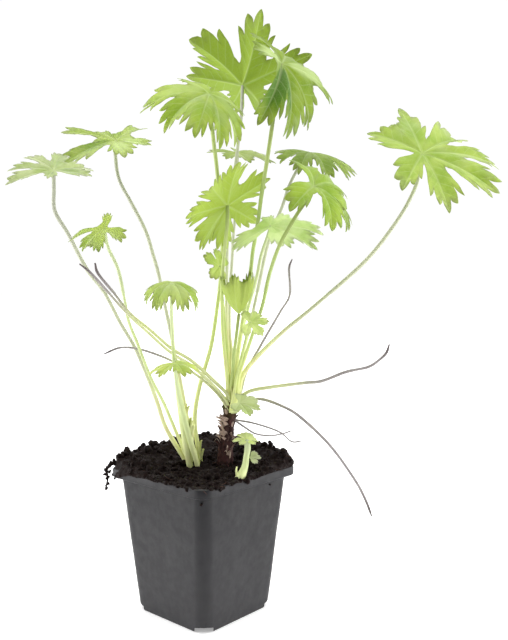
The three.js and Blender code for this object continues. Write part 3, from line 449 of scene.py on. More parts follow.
def waves(points, scale, seed, octaves=3):
    """Smooth noise between about -1 and 1 at points in millimetres; scale is the size of its lumps."""
    rng = np.random.default_rng(seed)
    points = np.asarray(points, float)
    total = np.zeros(points.shape[:-1])
    amplitude, reach = 1.0, 0.0
    for _ in range(octaves):
        for _ in range(WAVES_PER_OCTAVE):
            direction = unit(rng.normal(size=3)) * FULL_TURN / (scale * rng.uniform(0.8, 1.7))
            total += amplitude * np.sin(points @ direction + rng.uniform(0, FULL_TURN))
        reach += WAVES_PER_OCTAVE * amplitude
        amplitude *= OCTAVE_AMPLITUDE
        scale *= OCTAVE_SCALE
    return total / reach * 2


def grid_faces(rows, columns, start=0, closed=True):
    """Quads between rows of `columns` points. Closed rows are rings: counterclockwise from above and stacked
    upward, they give faces that look outward."""
    i = np.arange(columns if closed else columns - 1)
    j = np.arange(rows - 1)[:, None]
    a = start + j * columns + i
    b = start + j * columns + (i + 1) % columns
    return np.stack([a, b, b + columns, a + columns], axis=-1).reshape(-1, 4).tolist()


def fan_faces(centre, ring_start, columns, flip=False):
    """Triangles from a centre point to a ring."""
    i = np.arange(columns)
    a = ring_start + i
    b = ring_start + (i + 1) % columns
    c = np.full(columns, centre)
    order = [c, b, a] if flip else [c, a, b]
    return np.stack(order, axis=-1).tolist()


def capped_faces(rows, columns):
    """Faces of stacked rings whose points are followed by the middles of the first and of the last cap."""
    size = rows * columns
    faces = grid_faces(rows, columns)
    faces += fan_faces(size, 0, columns, flip=True)
    faces += fan_faces(size + 1, size - columns, columns)
    return faces


def add_object(name, data):
    """A new object in the scene that shows the data."""
    added = bpy.data.objects.new(name, data)
    bpy.context.scene.collection.objects.link(added)
    return added


def add_mesh(name, points, faces):
    """A new object in the scene with a mesh of its own; the points are in metres."""
    mesh = bpy.data.meshes.new(name)
    mesh.from_pydata(points, [], faces)
    return add_object(name, mesh)


class Soup:
    """Gathers vertices in millimetres, faces and point attributes of one piece."""

    def __init__(self):
        self.points = []
        self.faces = []
        self.values = {}
        self.count = 0

    def add(self, points, faces, **values):
        points = np.asarray(points, float).reshape(-1, 3)
        self.faces += [[v + self.count for v in face] for face in faces]
        for name, value in values.items():
            shape = (len(points),) if np.ndim(value) < 2 else (len(points), 3)
            self.values.setdefault(name, []).append(np.broadcast_to(value, shape).astype(np.float32))
        self.points.append(points)
        self.count += len(points)

    def piece(self, name, material, slot, nodes, in_plant=True):
        """The gathered mesh as a finished piece that stands for the given nodes."""
        points = np.concatenate(self.points)
        points = from_plant(points) if in_plant else points * MM
        piece = add_mesh(name, points.tolist(), self.faces)
        mesh = piece.data
        for key, parts in self.values.items():
            value = np.concatenate(parts)
            kind, field = ("FLOAT_VECTOR", "vector") if value.ndim == 2 else ("FLOAT", "value")
            mesh.attributes.new(key, kind, "POINT").data.foreach_set(field, value.ravel())
        mesh.polygons.foreach_set("use_smooth", [True] * len(mesh.polygons))
        mesh.materials.append(material)
        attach(piece, "root")
        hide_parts(*nodes)
        return piece


def curve_through(route, spacing):
    """Evenly spaced points on a uniform Catmull-Rom curve, and their share of its length."""
    p = np.asarray(route, float)
    p = np.vstack([2 * p[0] - p[1], p, 2 * p[-1] - p[-2]])
    t = np.linspace(0, 1, CURVE_STEPS, endpoint=False)[:, None]
    dense = []
    for a, b, c, d in zip(p, p[1:], p[2:], p[3:]):
        dense.append(0.5 * (2 * b + (c - a) * t + (2 * a - 5 * b + 4 * c - d) * t**2
                            + (3 * b - a - 3 * c + d) * t**3))
    dense = np.vstack(dense + [p[-2:-1]])
    lengths = np.concatenate([[0], np.cumsum(np.linalg.norm(np.diff(dense, axis=0), axis=1))])
    count = max(3, int(round(lengths[-1] / spacing)) + 1)
    at = np.linspace(0, lengths[-1], count)
    points = np.stack([np.interp(at, lengths, dense[:, k]) for k in range(3)], axis=-1)
    return points, at / lengths[-1]


def tube(soup, points, radii, sides, ribs=0.0, flat=1.0, **values):
    """A closed round stalk through the points. ribs: relative depth of lengthwise ribs. flat: thickness as a
    share of the width. The values hold one number for the whole tube or one for each point."""
    points = np.asarray(points, float)
    directions = unit(np.gradient(points, axis=0))
    helper = UP if abs(directions[0][2]) < 0.9 else np.array([1.0, 0, 0])
    side = unit(np.cross(directions[0], helper))
    angles = np.arange(sides) * FULL_TURN / sides
    profile = 1 + ribs * np.cos(angles * RIBS)
    rings = []
    for point, direction, radius in zip(points, directions, radii):
        side = unit(side - direction * np.dot(side, direction))
        other = np.cross(direction, side)
        ring = np.cos(angles)[:, None] * side + flat * np.sin(angles)[:, None] * other
        rings.append(point + radius * profile[:, None] * ring)
    caps = [points[end] + sign * directions[end] * radii[end] * CAP_LIFT for end, sign in ((0, -1), (-1, 1))]
    spread = {}
    for name, value in values.items():
        value = np.broadcast_to(value, len(points))
        spread[name] = np.concatenate([np.repeat(value, sides), [value[0], value[-1]]])
    soup.add(np.vstack([*rings, caps]), capped_faces(len(points), sides), **spread)


# ---- node graphs ----

def srgb(red, green, blue):
    """A display colour of 0 to 255 as linear light with alpha."""
    def linear(value):
        value /= 255
        return value / 12.92 if value <= 0.04045 else ((value + 0.055) / 1.055) ** 2.4
    return (linear(red), linear(green), linear(blue), 1)


def toward(colour, other, share):
    """A colour moved towards another by a share of the way."""
    return tuple(a + (b - a) * share for a, b in zip(colour, other))


def dimmed(colour, red, green, blue):
    """A colour with each of its channels multiplied."""
    return (colour[0] * red, colour[1] * green, colour[2] * blue, 1)


class Graph:
    """The node tree of a new material or world. Each method adds a node and returns its output socket."""

    def __init__(self, name, kind=bpy.data.materials):
        self.owner = kind.new(name)
        self.owner.use_nodes = True
        self.tree = self.owner.node_tree
        self.tree.nodes.clear()

    def node(self, kind, inputs, **settings):
        node = self.tree.nodes.new(kind)
        for key, value in settings.items():
            setattr(node, key, value)
        for socket, value in inputs.items():
            if isinstance(value, bpy.types.NodeSocket):
                self.tree.links.new(value, node.inputs[socket])
            else:
                node.inputs[socket].default_value = value
        return node

    def place(self, lengthwise=1):
        """The place on the piece in metres. lengthwise: factor for its height, to draw patterns out."""
        place = self.node("ShaderNodeTexCoord", {}).outputs["Object"]
        if lengthwise == 1:
            return place
        inputs = {"Vector": place, "Scale": (1, 1, lengthwise)}
        return self.node("ShaderNodeMapping", inputs).outputs["Vector"]

    def attribute(self, name, output="Fac"):
        return self.node("ShaderNodeAttribute", {}, attribute_name=name).outputs[output]

    def split(self, vector):
        return self.node("ShaderNodeSeparateXYZ", {"Vector": vector}).outputs

    def noise(self, size, detail=2, roughness=0.55, lengthwise=1):
        """Noise whose lumps are about `size` metres."""
        place = self.place(lengthwise)
        inputs = {"Vector": place, "Scale": 1 / size, "Detail": detail, "Roughness": roughness}
        return self.node("ShaderNodeTexNoise", inputs).outputs["Fac"]

    def cell_edges(self, size):
        """Distance to the nearest edge between cells of about `size` metres."""
        inputs = {"Vector": self.place(), "Scale": 1 / size}
        return self.node("ShaderNodeTexVoronoi", inputs, feature="DISTANCE_TO_EDGE").outputs["Distance"]

    def math(self, operation, a, b):
        return self.node("ShaderNodeMath", {0: a, 1: b}, operation=operation).outputs[0]

    def times(self, a, b):
        return self.math("MULTIPLY", a, b)

    def rest(self, share):
        return self.math("SUBTRACT", 1, share)

    def vector_math(self, operation, *vectors):
        inputs = dict(enumerate(vectors))
        return self.node("ShaderNodeVectorMath", inputs, operation=operation).outputs["Value"]

    def fit(self, value, low, high, to_low=0.0, to_high=1.0):
        """Maps low..high smoothly to to_low..to_high."""
        inputs = {"Value": value, "From Min": low, "From Max": high, "To Min": to_low, "To Max": to_high}
        return self.node("ShaderNodeMapRange", inputs, interpolation_type="SMOOTHSTEP").outputs["Result"]

    def mix(self, share, a, b, blend="MIX"):
        """Mixes colours. A mix node's sockets 6 and 7 and its output 2 are those for colours."""
        inputs = {0: share, 6: a, 7: b}
        return self.node("ShaderNodeMix", inputs, data_type="RGBA", blend_type=blend).outputs[2]

    def bump(self, height, distance, strength, **below):
        """Normal of a bumpy surface; Normal is that of the surface below, where it has bumps as well."""
        inputs = {"Height": height, "Distance": distance, "Strength": strength, **below}
        return self.node("ShaderNodeBump", inputs).outputs["Normal"]

    def coat(self, colour, roughness, normal=None, gloss=0.5, **inputs):
        """The main shader. gloss: strength of its reflections."""
        inputs = {key.replace("_", " "): value for key, value in inputs.items()}
        inputs.update({"Base Color": colour, "Roughness": roughness, "Specular IOR Level": gloss})
        if normal is not None:
            inputs["Normal"] = normal
        return self.node("ShaderNodeBsdfPrincipled", inputs).outputs["BSDF"]

    def finish(self, surface, output="ShaderNodeOutputMaterial"):
        self.node(output, {"Surface": surface})
        return self.owner


# ---- materials: noise sizes and bump heights in metres ----

def pot_material():
    """Thin thermoformed plastic: dark grey, softly mottled, dusty streaks and a fine grain, with painted light
    that makes it paler towards the foot.
    """
    g = Graph("pot_plastic")
    cloud = g.noise(0.03)
    colour = g.mix(g.fit(cloud, 0.35, 0.7), srgb(23, 22, 26), srgb(29, 28, 31))
    streak = g.noise(0.0035, detail=3, lengthwise=0.12)
    colour = g.mix(g.fit(streak, 0.5, 0.8, 0, 0.1), colour, srgb(62, 61, 62))
    # painted light: paler towards the foot, as if lit from below by the bright floor
    colour = g.mix(g.fit(g.split(g.place())[2], 0.1, 0.0, 0, 0.6), colour, srgb(54, 53, 55))
    speck = g.noise(0.0012)
    dust = g.times(g.fit(speck, 0.62, 0.74), g.fit(cloud, 0.4, 0.65))
    colour = g.mix(g.times(dust, 0.3), colour, srgb(66, 52, 44))
    roughness = g.fit(g.noise(0.006, detail=3), 0.3, 0.7, 0.46, 0.6)
    ripple = g.bump(g.noise(0.011), 0.0006, 0.5)
    normal = g.bump(g.noise(0.0006), 0.00005, 0.4, Normal=ripple)
    return g.finish(g.coat(colour, roughness, normal, 0.3))


def soil_material():
    """Moist potting soil. The tone attribute runs from black crumbs to pale brown fibres."""
    g = Graph("potting_soil")
    colour = g.mix(g.noise(0.004, detail=3), srgb(10, 5, 4), srgb(30, 17, 14))
    colour = g.mix(g.fit(g.noise(0.0014, detail=3), 0.55, 0.75, 0, 0.4), colour, srgb(56, 36, 32))
    colour = g.mix(g.fit(g.attribute("tone"), 0.35, 1.0), colour, srgb(84, 58, 46))
    wet = g.fit(g.noise(0.003, detail=3), 0.35, 0.7, 0.55, 0.95)
    lumps = g.bump(g.noise(0.0011, detail=4, roughness=0.7), 0.0008, 0.9)
    return g.finish(g.coat(colour, wet, lumps, 0.12))


def rhizome_material():
    """Woody red-brown bark; tone lifts papery scales and fibres to a pale pinkish brown."""
    g = Graph("rhizome_bark")
    fibre = g.noise(0.0009, detail=4, lengthwise=0.15)
    colour = g.mix(fibre, srgb(30, 14, 16), srgb(80, 42, 40))
    colour = g.mix(g.fit(g.noise(0.0035, detail=3), 0.42, 0.66, 0, 0.75), colour, srgb(30, 17, 15))
    height = g.split(g.place())[2]
    colour = g.mix(g.fit(height, 0.134, 0.146, 0, 0.8), colour, srgb(74, 70, 28))
    papery = g.mix(fibre, srgb(172, 140, 126), srgb(230, 210, 194))
    colour = g.mix(g.fit(g.attribute("tone"), 0.3, 0.9), colour, papery)
    return g.finish(g.coat(colour, 0.72, g.bump(fibre, 0.0006, 0.8), 0.25))


def vein_pattern(g):
    """A midrib in each lobe, side veins that climb from it and a fine net: 0 beside them, 1 on a midrib."""
    along, across, shift = g.split(g.attribute("lobe", "Vector"))
    midrib_width = g.fit(along, 0.0, 1.0, 0.016, 0.005)
    midrib = g.rest(g.fit(g.math("DIVIDE", across, midrib_width), 0.4, 1.6))
    wobble = g.times(g.math("SUBTRACT", g.noise(0.006), 0.5), 0.03)
    climb = g.math("SUBTRACT", along, g.times(across, VEIN_SLOPE))
    climb = g.math("ADD", g.math("ADD", climb, shift), wobble)
    comb = g.math("PINGPONG", g.math("DIVIDE", climb, VEIN_SPACING), 0.5)
    side_vein = g.times(g.rest(g.fit(comb, 0.02, 0.1)), g.fit(along, 0.16, 0.34))
    net = g.rest(g.fit(g.cell_edges(0.0021), 0.02, 0.14))
    veins = g.math("MAXIMUM", midrib, g.times(side_vein, 0.55))
    return g.math("MAXIMUM", veins, g.times(net, 0.14))


def leaf_colour(g, veins, upper, bloom):
    """Mottled above and paler below, with painted shade and painted highlights, pale veins and a greyish rim.
    """
    pale = srgb(222, 232, 190)
    dark = dimmed(upper, 0.72, 0.82, 0.5)
    dusty = toward(upper, srgb(186, 200, 158), 0.55)
    face = g.mix(g.fit(g.noise(0.016, detail=3), 0.38, 0.68), upper, dark)
    face = g.mix(g.fit(g.noise(0.021), 0.5, 0.72, 0, 0.55), face, dusty)
    colour = g.mix(g.attribute("under"), face, toward(upper, pale, 0.2 * min(1, 2 * bloom)))
    shade = g.attribute("deep")
    # painted shade on the lobes that lie in shadow
    colour = g.mix(g.fit(shade, 0, 1, 0, 0.92), colour, dimmed(dark, 0.36, 0.6, 0.14))
    # painted highlight on the lobes that catch the light
    colour = g.mix(g.fit(shade, 0, -1, 0, 1), colour, toward(upper, srgb(214, 228, 172), 0.85))
    colour = g.mix(g.times(veins, 0.45), colour, toward(upper, pale, 0.55))
    rim = g.times(g.fit(g.attribute("edge"), 0.84, 1.0), g.fit(g.noise(0.005), 0.3, 0.6))
    return g.mix(g.times(rim, 0.5), colour, toward(upper, srgb(120, 124, 92), 0.7))


def leaf_material(name, upper, bloom):
    """A thin, softly hairy blade. lobe holds the place along and across a lobe and the shift of its side
    veins, edge runs from hub to margin, under is 1 on the lower face, and deep is positive where shade is
    painted on and negative where a highlight is painted on. bloom: strength of the pale sheen of the hairs."""
    g = Graph(name)
    veins = vein_pattern(g)
    colour = leaf_colour(g, veins, upper, bloom)
    relief = g.math("ADD", g.times(veins, -1), g.times(g.noise(0.0012), 0.35))
    relief = g.mix(g.attribute("under"), relief, g.times(relief, -1))
    normal = g.bump(relief, 0.0002, 0.5)
    roughness = g.fit(g.noise(0.004), 0.3, 0.7, 0.52, 0.68)
    front = g.coat(colour, roughness, normal, 0.3, Sheen_Weight=bloom, Sheen_Roughness=0.4)
    glow = g.mix(1.0, colour, (1.0, 1.0, 0.78, 1), blend="MULTIPLY")
    back = g.node("ShaderNodeBsdfTranslucent", {"Color": glow, "Normal": normal}).outputs["BSDF"]
    both = g.node("ShaderNodeMixShader", {0: LEAF_PASSING, 1: front, 2: back}).outputs["Shader"]
    return g.finish(both)


STEM_TONES = {
    # from the foot through the middle to the blade
    # the feet are partly their own pale colour and partly painted light that lifts the shade among crowded
    # stems
    "fresh": (srgb(228, 234, 162), srgb(186, 200, 124), srgb(166, 180, 114)),
    "olive": (srgb(232, 236, 168), srgb(180, 184, 152), srgb(172, 175, 150)),
    "grey": (srgb(236, 240, 170), srgb(184, 188, 160), srgb(168, 170, 154)),
    "deep": (srgb(228, 235, 156), srgb(162, 180, 108), srgb(138, 152, 82)),
    "pale": (srgb(232, 238, 168), srgb(196, 209, 148), srgb(184, 194, 152)),
}


def stem_material(name, foot, middle, top):
    """A fine-haired fleshy petiole; along runs from the root to the blade."""
    g = Graph(name)
    along = g.attribute("along")
    colour = g.mix(g.fit(along, 0.02, 0.45), foot, middle)
    colour = g.mix(g.fit(along, 0.5, 1.0), colour, top)
    grain = g.noise(0.0022, lengthwise=0.2)
    colour = g.mix(g.fit(grain, 0.5, 0.8, 0, 0.2), colour, dimmed(top, 0.75, 0.77, 0.65))
    blotch = g.fit(g.noise(0.014), 0.52, 0.72)
    blush = g.times(blotch, g.fit(along, 0.5, 0.0, 0, 0.3))
    colour = g.mix(blush, colour, srgb(196, 150, 118))
    return g.finish(g.coat(colour, 0.5, g.bump(grain, 0.0001, 0.4), 0.35))


def dry_material():
    """Dead stalks and bare roots: grey brown, ribbed; fresh is 1 where a stalk is still green."""
    g = Graph("dry_stalk")
    grain = g.noise(0.0011, detail=4, lengthwise=0.3)
    colour = g.mix(grain, srgb(112, 105, 106), srgb(172, 166, 164))
    colour = g.mix(g.attribute("dark"), colour, srgb(66, 54, 54))
    colour = g.mix(g.attribute("fresh"), colour, srgb(204, 210, 154))
    return g.finish(g.coat(colour, 0.62, g.bump(grain, 0.0003, 0.8), 0.35))


# ---- pot ----

def rounded_square(half_width, radius, arc_steps, side_steps, bow=0.0):
    """x and y of a square with rounded corners, counterclockwise from above."""
    ring = []
    straight = half_width - radius
    for corner in range(4):
        start = math.radians(corner * 90)
        end = start + math.radians(90)
        centre = math.sqrt(2) * straight * bearing(start + math.radians(45))
        for angle in np.linspace(start, end, arc_steps + 1):
            ring.append(centre + radius * bearing(angle))
        inward = -bearing(end)
        for i in range(1, side_steps):
            share = i / side_steps
            sag = bow * math.sin(math.pi * share) ** 2
            ring.append(centre - radius * inward + beside(end) * 2 * straight * share + inward * sag)
    return np.array(ring)[:, :2]


def at_height(ring, z):
    """A ring of x and y as points at one height."""
    return np.column_stack([ring, np.full(len(ring), z)])


def pot_half_width(z):
    """Half width of the pot's tapered wall, outside."""
    share = z / (POT_HEIGHT - POT_LIP_DEPTH)
    return POT_FOOT_HALF_WIDTH + (POT_NECK_HALF_WIDTH - POT_FOOT_HALF_WIDTH) * share


def pot_profile():
    """Half widths, heights and bow from the middle of the foot, up outside, over the lip and down inside."""
    skirt = POT_HEIGHT - POT_LIP_DEPTH
    lip = POT_LIP_HALF_WIDTH
    inside = pot_half_width(POT_HEIGHT) - POT_WALL
    under_lip = [(pot_half_width(skirt) + 0.5, 2.6), (lip - 1.2, 2.9), (lip - POT_WALL, 2.2),
                 (lip - POT_WALL, 0.1), (lip - 0.5, -0.1), (lip - 0.05, 0.25), (lip, 1)]
    over_lip = [(lip, -1.2), (lip - 0.3, -0.4), (lip - 1.1, 0), (inside + 0.7, 0), (inside + 0.1, -0.35)]
    profile = [(POT_FOOT_HALF_WIDTH - 1.4, 0, 0), (POT_FOOT_HALF_WIDTH - 0.5, 0.15, 0)]
    for z in np.linspace(0.9, skirt, POT_ROWS_OUTSIDE):
        profile.append((pot_half_width(z), z, POT_BOW * math.sin(math.pi * z / skirt)))
    profile += [(half_width, skirt + rise, 0) for half_width, rise in under_lip]
    profile += [(half_width, POT_LIP_TOP + rise, 0) for half_width, rise in over_lip]
    for z in np.linspace(POT_HEIGHT - 1.4, POT_FLOOR + 1, POT_ROWS_INSIDE):
        profile.append((pot_half_width(z) - POT_WALL, z, POT_BOW * math.sin(math.pi * z / POT_HEIGHT)))
    profile.append((pot_half_width(POT_FLOOR) - POT_WALL - 0.8, POT_FLOOR, 0))
    return profile


def drain_notch_arch():
    """Place across a notch and height of its outline, which starts below the foot."""
    half = DRAIN_NOTCH_WIDTH / 2
    shoulder = DRAIN_NOTCH_HEIGHT * 0.75
    arch = [(-half, -DRAIN_NOTCH_CLEARANCE), (half, -DRAIN_NOTCH_CLEARANCE), (half, shoulder)]
    for t in np.linspace(0.1, 0.9, DRAIN_ARCH_STEPS):
        lift = 4 * t * (1 - t) * (DRAIN_NOTCH_HEIGHT - shoulder)
        arch.append((half - 2 * half * t, shoulder + lift))
    return arch + [(-half, shoulder)]


def drain_notch_cutters():
    """One object with four arches that run out through the corners of the foot."""
    arch = drain_notch_arch()
    count = len(arch)
    corner_distance = math.sqrt(2) * (POT_FOOT_HALF_WIDTH - POT_CORNER_RADIUS) + POT_CORNER_RADIUS
    points, faces = [], []
    for corner in range(4):
        angle = math.radians(45 + 90 * corner)
        base = len(points)
        for distance in (corner_distance - DRAIN_POCKET_DEPTH, corner_distance + DRAIN_CUT_BEYOND):
            points += [bearing(angle) * distance + beside(angle) * across + UP * z for across, z in arch]
        faces += [[base + v for v in face] for face in grid_faces(2, count)]
        faces.append([base + i for i in reversed(range(count))])
        faces.append([base + count + i for i in range(count)])
    return add_mesh("drain_notches", (np.array(points) * MM).tolist(), faces)


def cut_away(piece, cutter):
    """Cuts the cutter out of the piece's mesh and removes it."""
    modifier = piece.modifiers.new("cut", "BOOLEAN")
    modifier.object = cutter
    modifier.solver = "EXACT"
    bpy.context.view_layer.update()
    cut = bpy.data.meshes.new_from_object(piece.evaluated_get(bpy.context.evaluated_depsgraph_get()))
    piece.modifiers.clear()
    old = piece.data
    piece.data = cut
    bpy.data.meshes.remove(old)
    bpy.data.objects.remove(cutter)


def make_pot():
    rings = []
    for half_width, z, bow in pot_profile():
        ring = rounded_square(half_width, POT_CORNER_RADIUS, POT_ARC_STEPS, POT_SIDE_STEPS, bow)
        points = at_height(ring, z)
        dent = POT_DENT * waves(points, 26, seed=3, octaves=2) * smooth_step(1, 12, z)
        rings.append(points + level(points) * dent[:, None])
    soup = Soup()
    caps = [[0, 0, 0], [0, 0, POT_FLOOR]]
    soup.add(np.concatenate(rings + [caps]), capped_faces(len(rings), len(rings[0])))
    pot = soup.piece("pot_shell", pot_material(), "pot_plastic", ["pot"], in_plant=False)
    cut_away(pot, drain_notch_cutters())
    pot.data.set_sharp_from_angle(angle=math.radians(POT_SHARP_ANGLE))


# ---- soil ----

def soil_height(x, y):
    """Height of the heap at a place in the plant's frame."""
    back = SOIL_BACK_RISE * smooth_step(-35, 50, y)
    corners = SOIL_CORNER_RISE * np.minimum(1.3, (x / 58) ** 2)
    lumps = 0.7 * np.sin(x * 0.31 + 1) * np.sin(y * 0.27) + 0.5 * np.sin(x * 0.63) * np.sin(y * 0.71 + 2)
    return SOIL_FRONT_LEVEL + back + corners + lumps


def soil_hang(x, y):
    """How far the soil hangs down the outside of the lip: 0 stops on top of it, 1 covers it."""
    degrees = np.degrees(np.arctan2(y, x))
    ragged = 0.5 + 0.5 * waves(np.stack([x, y, 0 * x], axis=-1), 16, seed=11, octaves=3)
    from_left = np.abs((degrees - 182 + 180) % 360 - 180)
    left = 0.62 * smooth_step(20, 8, from_left) + 0.14 * smooth_step(60, 20, from_left)
    right = smooth_step(40, 12, np.abs(degrees + 2))
    return np.clip(0.12 + 0.24 * ragged**2 + left - 0.4 * right, 0, 1)


def round_shape(levels, sides):
    """Unit ball of rings as points and faces."""
    points = []
    for row in range(1, levels):
        tilt = math.pi * row / levels
        for i in range(sides):
            angle = FULL_TURN * (i + 0.5 * (row % 2)) / sides
            points.append(math.sin(tilt) * bearing(angle) - math.cos(tilt) * UP)
    points += [(0, 0, -1), (0, 0, 1)]
    return np.array(points), capped_faces(levels - 1, sides)


CRUMB_SHAPE = round_shape(levels=6, sides=9)


def soil_crumb(rng, soup, centre, size, tone):
    """One lump of soil: a rough little ball with its own shape."""
    points, faces = CRUMB_SHAPE
    stretch = rng.uniform(0.65, 1.25, size=3)
    turn = np.linalg.qr(rng.normal(size=(3, 3)))[0]
    rough = 1 + 0.34 * waves(points * 3, 3.2, seed=int(rng.integers(1 << 30)), octaves=3)
    shape = (points * rough[:, None] * stretch) @ turn.T
    if np.linalg.det(turn) < 0:
        shape = shape * (1, 1, -1)
    soup.add(centre + shape * size, faces, tone=tone)


def heap_rings():
    """Rings of the heap's top from its middle to just inside the lip, before they are roughened."""
    rings = []
    for share in np.arange(1, SOIL_RINGS + 1) / SOIL_RINGS:
        half_width = SOIL_HALF_WIDTH * share
        radius = min(half_width * 0.5, POT_CORNER_RADIUS + 2)
        ring = rounded_square(half_width, radius, SOIL_ARC_STEPS, SOIL_SIDE_STEPS)
        plant = to_plant(at_height(ring, 0))
        height = soil_height(plant[:, 0], plant[:, 1])
        settle = smooth_step(0.82, 1.0, share)
        rings.append(np.column_stack([ring, height - settle * (height - POT_LIP_TOP - 1.0) * 0.3]))
    return rings


def overhang_rings(rim):
    """Rings from the heap's rim over the lip and down in front of it."""
    x, y, _ = to_plant(rim).T
    right = smooth_step(46, 14, np.abs(np.degrees(np.arctan2(y, x)) + 2))
    hang = soil_hang(x, y)
    reach = 3.7 + 0.9 * np.minimum(1, 2 * hang) + 0.5 * waves(rim, 12, seed=12) + 1.5 * right
    low = POT_LIP_TOP + 0.3 - 6.4 * hang
    rings = []
    for out, drop in SOIL_OVERHANG:
        place = rim + level(rim) * (reach * out)[:, None]
        rings.append(np.column_stack([place[:, :2], rim[:, 2] + (low - rim[:, 2]) * drop]))
    return rings


def soil_top(soup):
    """The crumbly heap with its edge hanging over the lip, and the block that fills the pot.
    Returns the points of its top and of its rim."""
    heap = heap_rings()
    rim = heap[-1]
    rings = []
    for j, ring in enumerate(heap + overhang_rings(rim)):
        lumps = 1.7 * waves(ring, 9, seed=5, octaves=3) + 0.6 * waves(ring, 2.4, seed=6, octaves=2)
        if j < SOIL_RINGS:
            rings.append(ring + lumps[:, None] * UP)
        else:
            rings.append(ring + level(rim) * (0.5 * lumps)[:, None] + (0.5 * lumps)[:, None] * UP)
    block = ((POT_NECK_HALF_WIDTH - 2, POT_HEIGHT - 3), (pot_half_width(SOIL_FOOT) - 1.6, SOIL_FOOT))
    for half_width, z in block:
        ring = rounded_square(half_width, POT_CORNER_RADIUS, SOIL_ARC_STEPS, SOIL_SIDE_STEPS)
        rings.append(at_height(ring, z))
    points = to_plant(np.vstack([*rings, rings[0].mean(axis=0), [0, 0, SOIL_FOOT]]))
    faces = [face[::-1] for face in capped_faces(len(rings), len(rim))]
    soup.add(points, faces, tone=0.18 + 0.16 * waves(points, 5, seed=8))
    edge = rings[SOIL_RINGS - 3:SOIL_RINGS + 5]
    return to_plant(np.stack(rings[:SOIL_RINGS])), to_plant(np.concatenate(edge))


def surface_spot(rng, top):
    """A random place on the heap, spread evenly over it."""
    ring = int((SOIL_RINGS - 1) * math.sqrt(rng.random()))
    return top[ring, rng.integers(top.shape[1])].copy()


def scatter_crumbs(rng, soup, top):
    """Many small crumbs and some clods all over the heap."""
    for _ in range(CRUMBS_ON_TOP):
        size = 0.5 + 1.7 * rng.random() ** 3
        centre = surface_spot(rng, top) + (0, 0, 0.25 * size)
        soil_crumb(rng, soup, centre, size, tone=rng.uniform(0, 0.42))
    for _ in range(CLODS_ON_TOP):
        size = rng.uniform(2.0, 3.6)
        centre = surface_spot(rng, top) - (0, 0, 0.15 * size)
        soil_crumb(rng, soup, centre, size, tone=rng.uniform(0.05, 0.35))


def place_clods(rng, soup, top):
    """Clods of three lumps each at the places in the table, and the crumbs that cling to the pot."""
    spots = top.reshape(-1, 3)
    for x, y, rise, size in SOIL_CLODS:
        centre = spots[np.hypot(spots[:, 0] - x, spots[:, 1] - y).argmin()] + (0, 0, rise)
        for _ in range(3):
            away = rng.normal(scale=0.45 * size, size=3) * (1, 1, 0.5)
            soil_crumb(rng, soup, centre + away, size * rng.uniform(0.5, 0.9), tone=rng.uniform(0, 0.25))
    for spot, size in CLINGING_CRUMBS:
        soil_crumb(rng, soup, np.array(spot, float), size, tone=rng.uniform(0, 0.2))


def rim_crumbs(rng, soup, rim):
    """Crumbs along the heap's edge."""
    for _ in range(CRUMBS_AT_RIM):
        size = 0.45 + 1.5 * rng.random() ** 2.5
        centre = rim[rng.integers(len(rim))] + rng.normal(scale=0.25, size=3)
        soil_crumb(rng, soup, centre, size, tone=rng.uniform(0, 0.4))


def soil_fibres(rng, soup, top, rim):
    """Short fine fibres that lie on the heap and at its rim."""
    for _ in range(SOIL_FIBRES):
        start = surface_spot(rng, top) if rng.random() < 0.7 else rim[rng.integers(len(rim))].copy()
        start[2] += 0.3
        step = bearing(rng.uniform(0, FULL_TURN)) * rng.uniform(0.8, 2.2)
        route = [start]
        for _ in range(4):
            step = step + rng.normal(scale=0.7, size=3) * (1, 1, 0.4)
            route.append(route[-1] + step)
        points, _ = curve_through(route, 1.1)
        radii = np.linspace(rng.uniform(0.14, 0.28), 0.07, len(points))
        tube(soup, points, radii, 5, tone=rng.uniform(0.3, 0.9))


def hanging_strand(rng, soup):
    """A root with crumbs that hangs over the left corner."""
    points, share = curve_through(STRAND_ROUTE, 1.0)
    tube(soup, points, 0.95 - 0.4 * share, 6, tone=0.1)
    for at in range(1, len(points)):
        size = 2.0 * (1 - 0.55 * share[at]) * rng.uniform(0.5, 1.1)
        soil_crumb(rng, soup, points[at] + rng.normal(scale=0.6, size=3), size, tone=rng.uniform(0, 0.3))
    for spot in STRAND_CRUMBS:
        soil_crumb(rng, soup, np.array(spot), rng.uniform(0.7, 1.2), tone=0.1)


def make_soil():
    rng = np.random.default_rng(SOIL_SEED)
    soup = Soup()
    top, rim = soil_top(soup)
    scatter_crumbs(rng, soup, top)
    place_clods(rng, soup, top)
    rim_crumbs(rng, soup, rim)
    soil_fibres(rng, soup, top, rim)
    hanging_strand(rng, soup)
    soup.piece("potting_soil", soil_material(), "soil", ["soil"])


# ---- rhizome ----

def rhizome_at(z):
    """Centre and radius of the rhizome at a height."""
    *place, heights = np.transpose(RHIZOME_AXIS)
    x, y, radius = (np.interp(z, heights, values) for values in (*place, RHIZOME_RADII))
    return np.array([x, y, z]), radius


def rhizome_side(z, angle, sunk=0.0):
    """A place at the rhizome's side, sunk that far into it, and the way outward from there."""
    centre, radius = rhizome_at(z)
    outward = bearing(angle)
    return centre + outward * (radius - sunk), outward


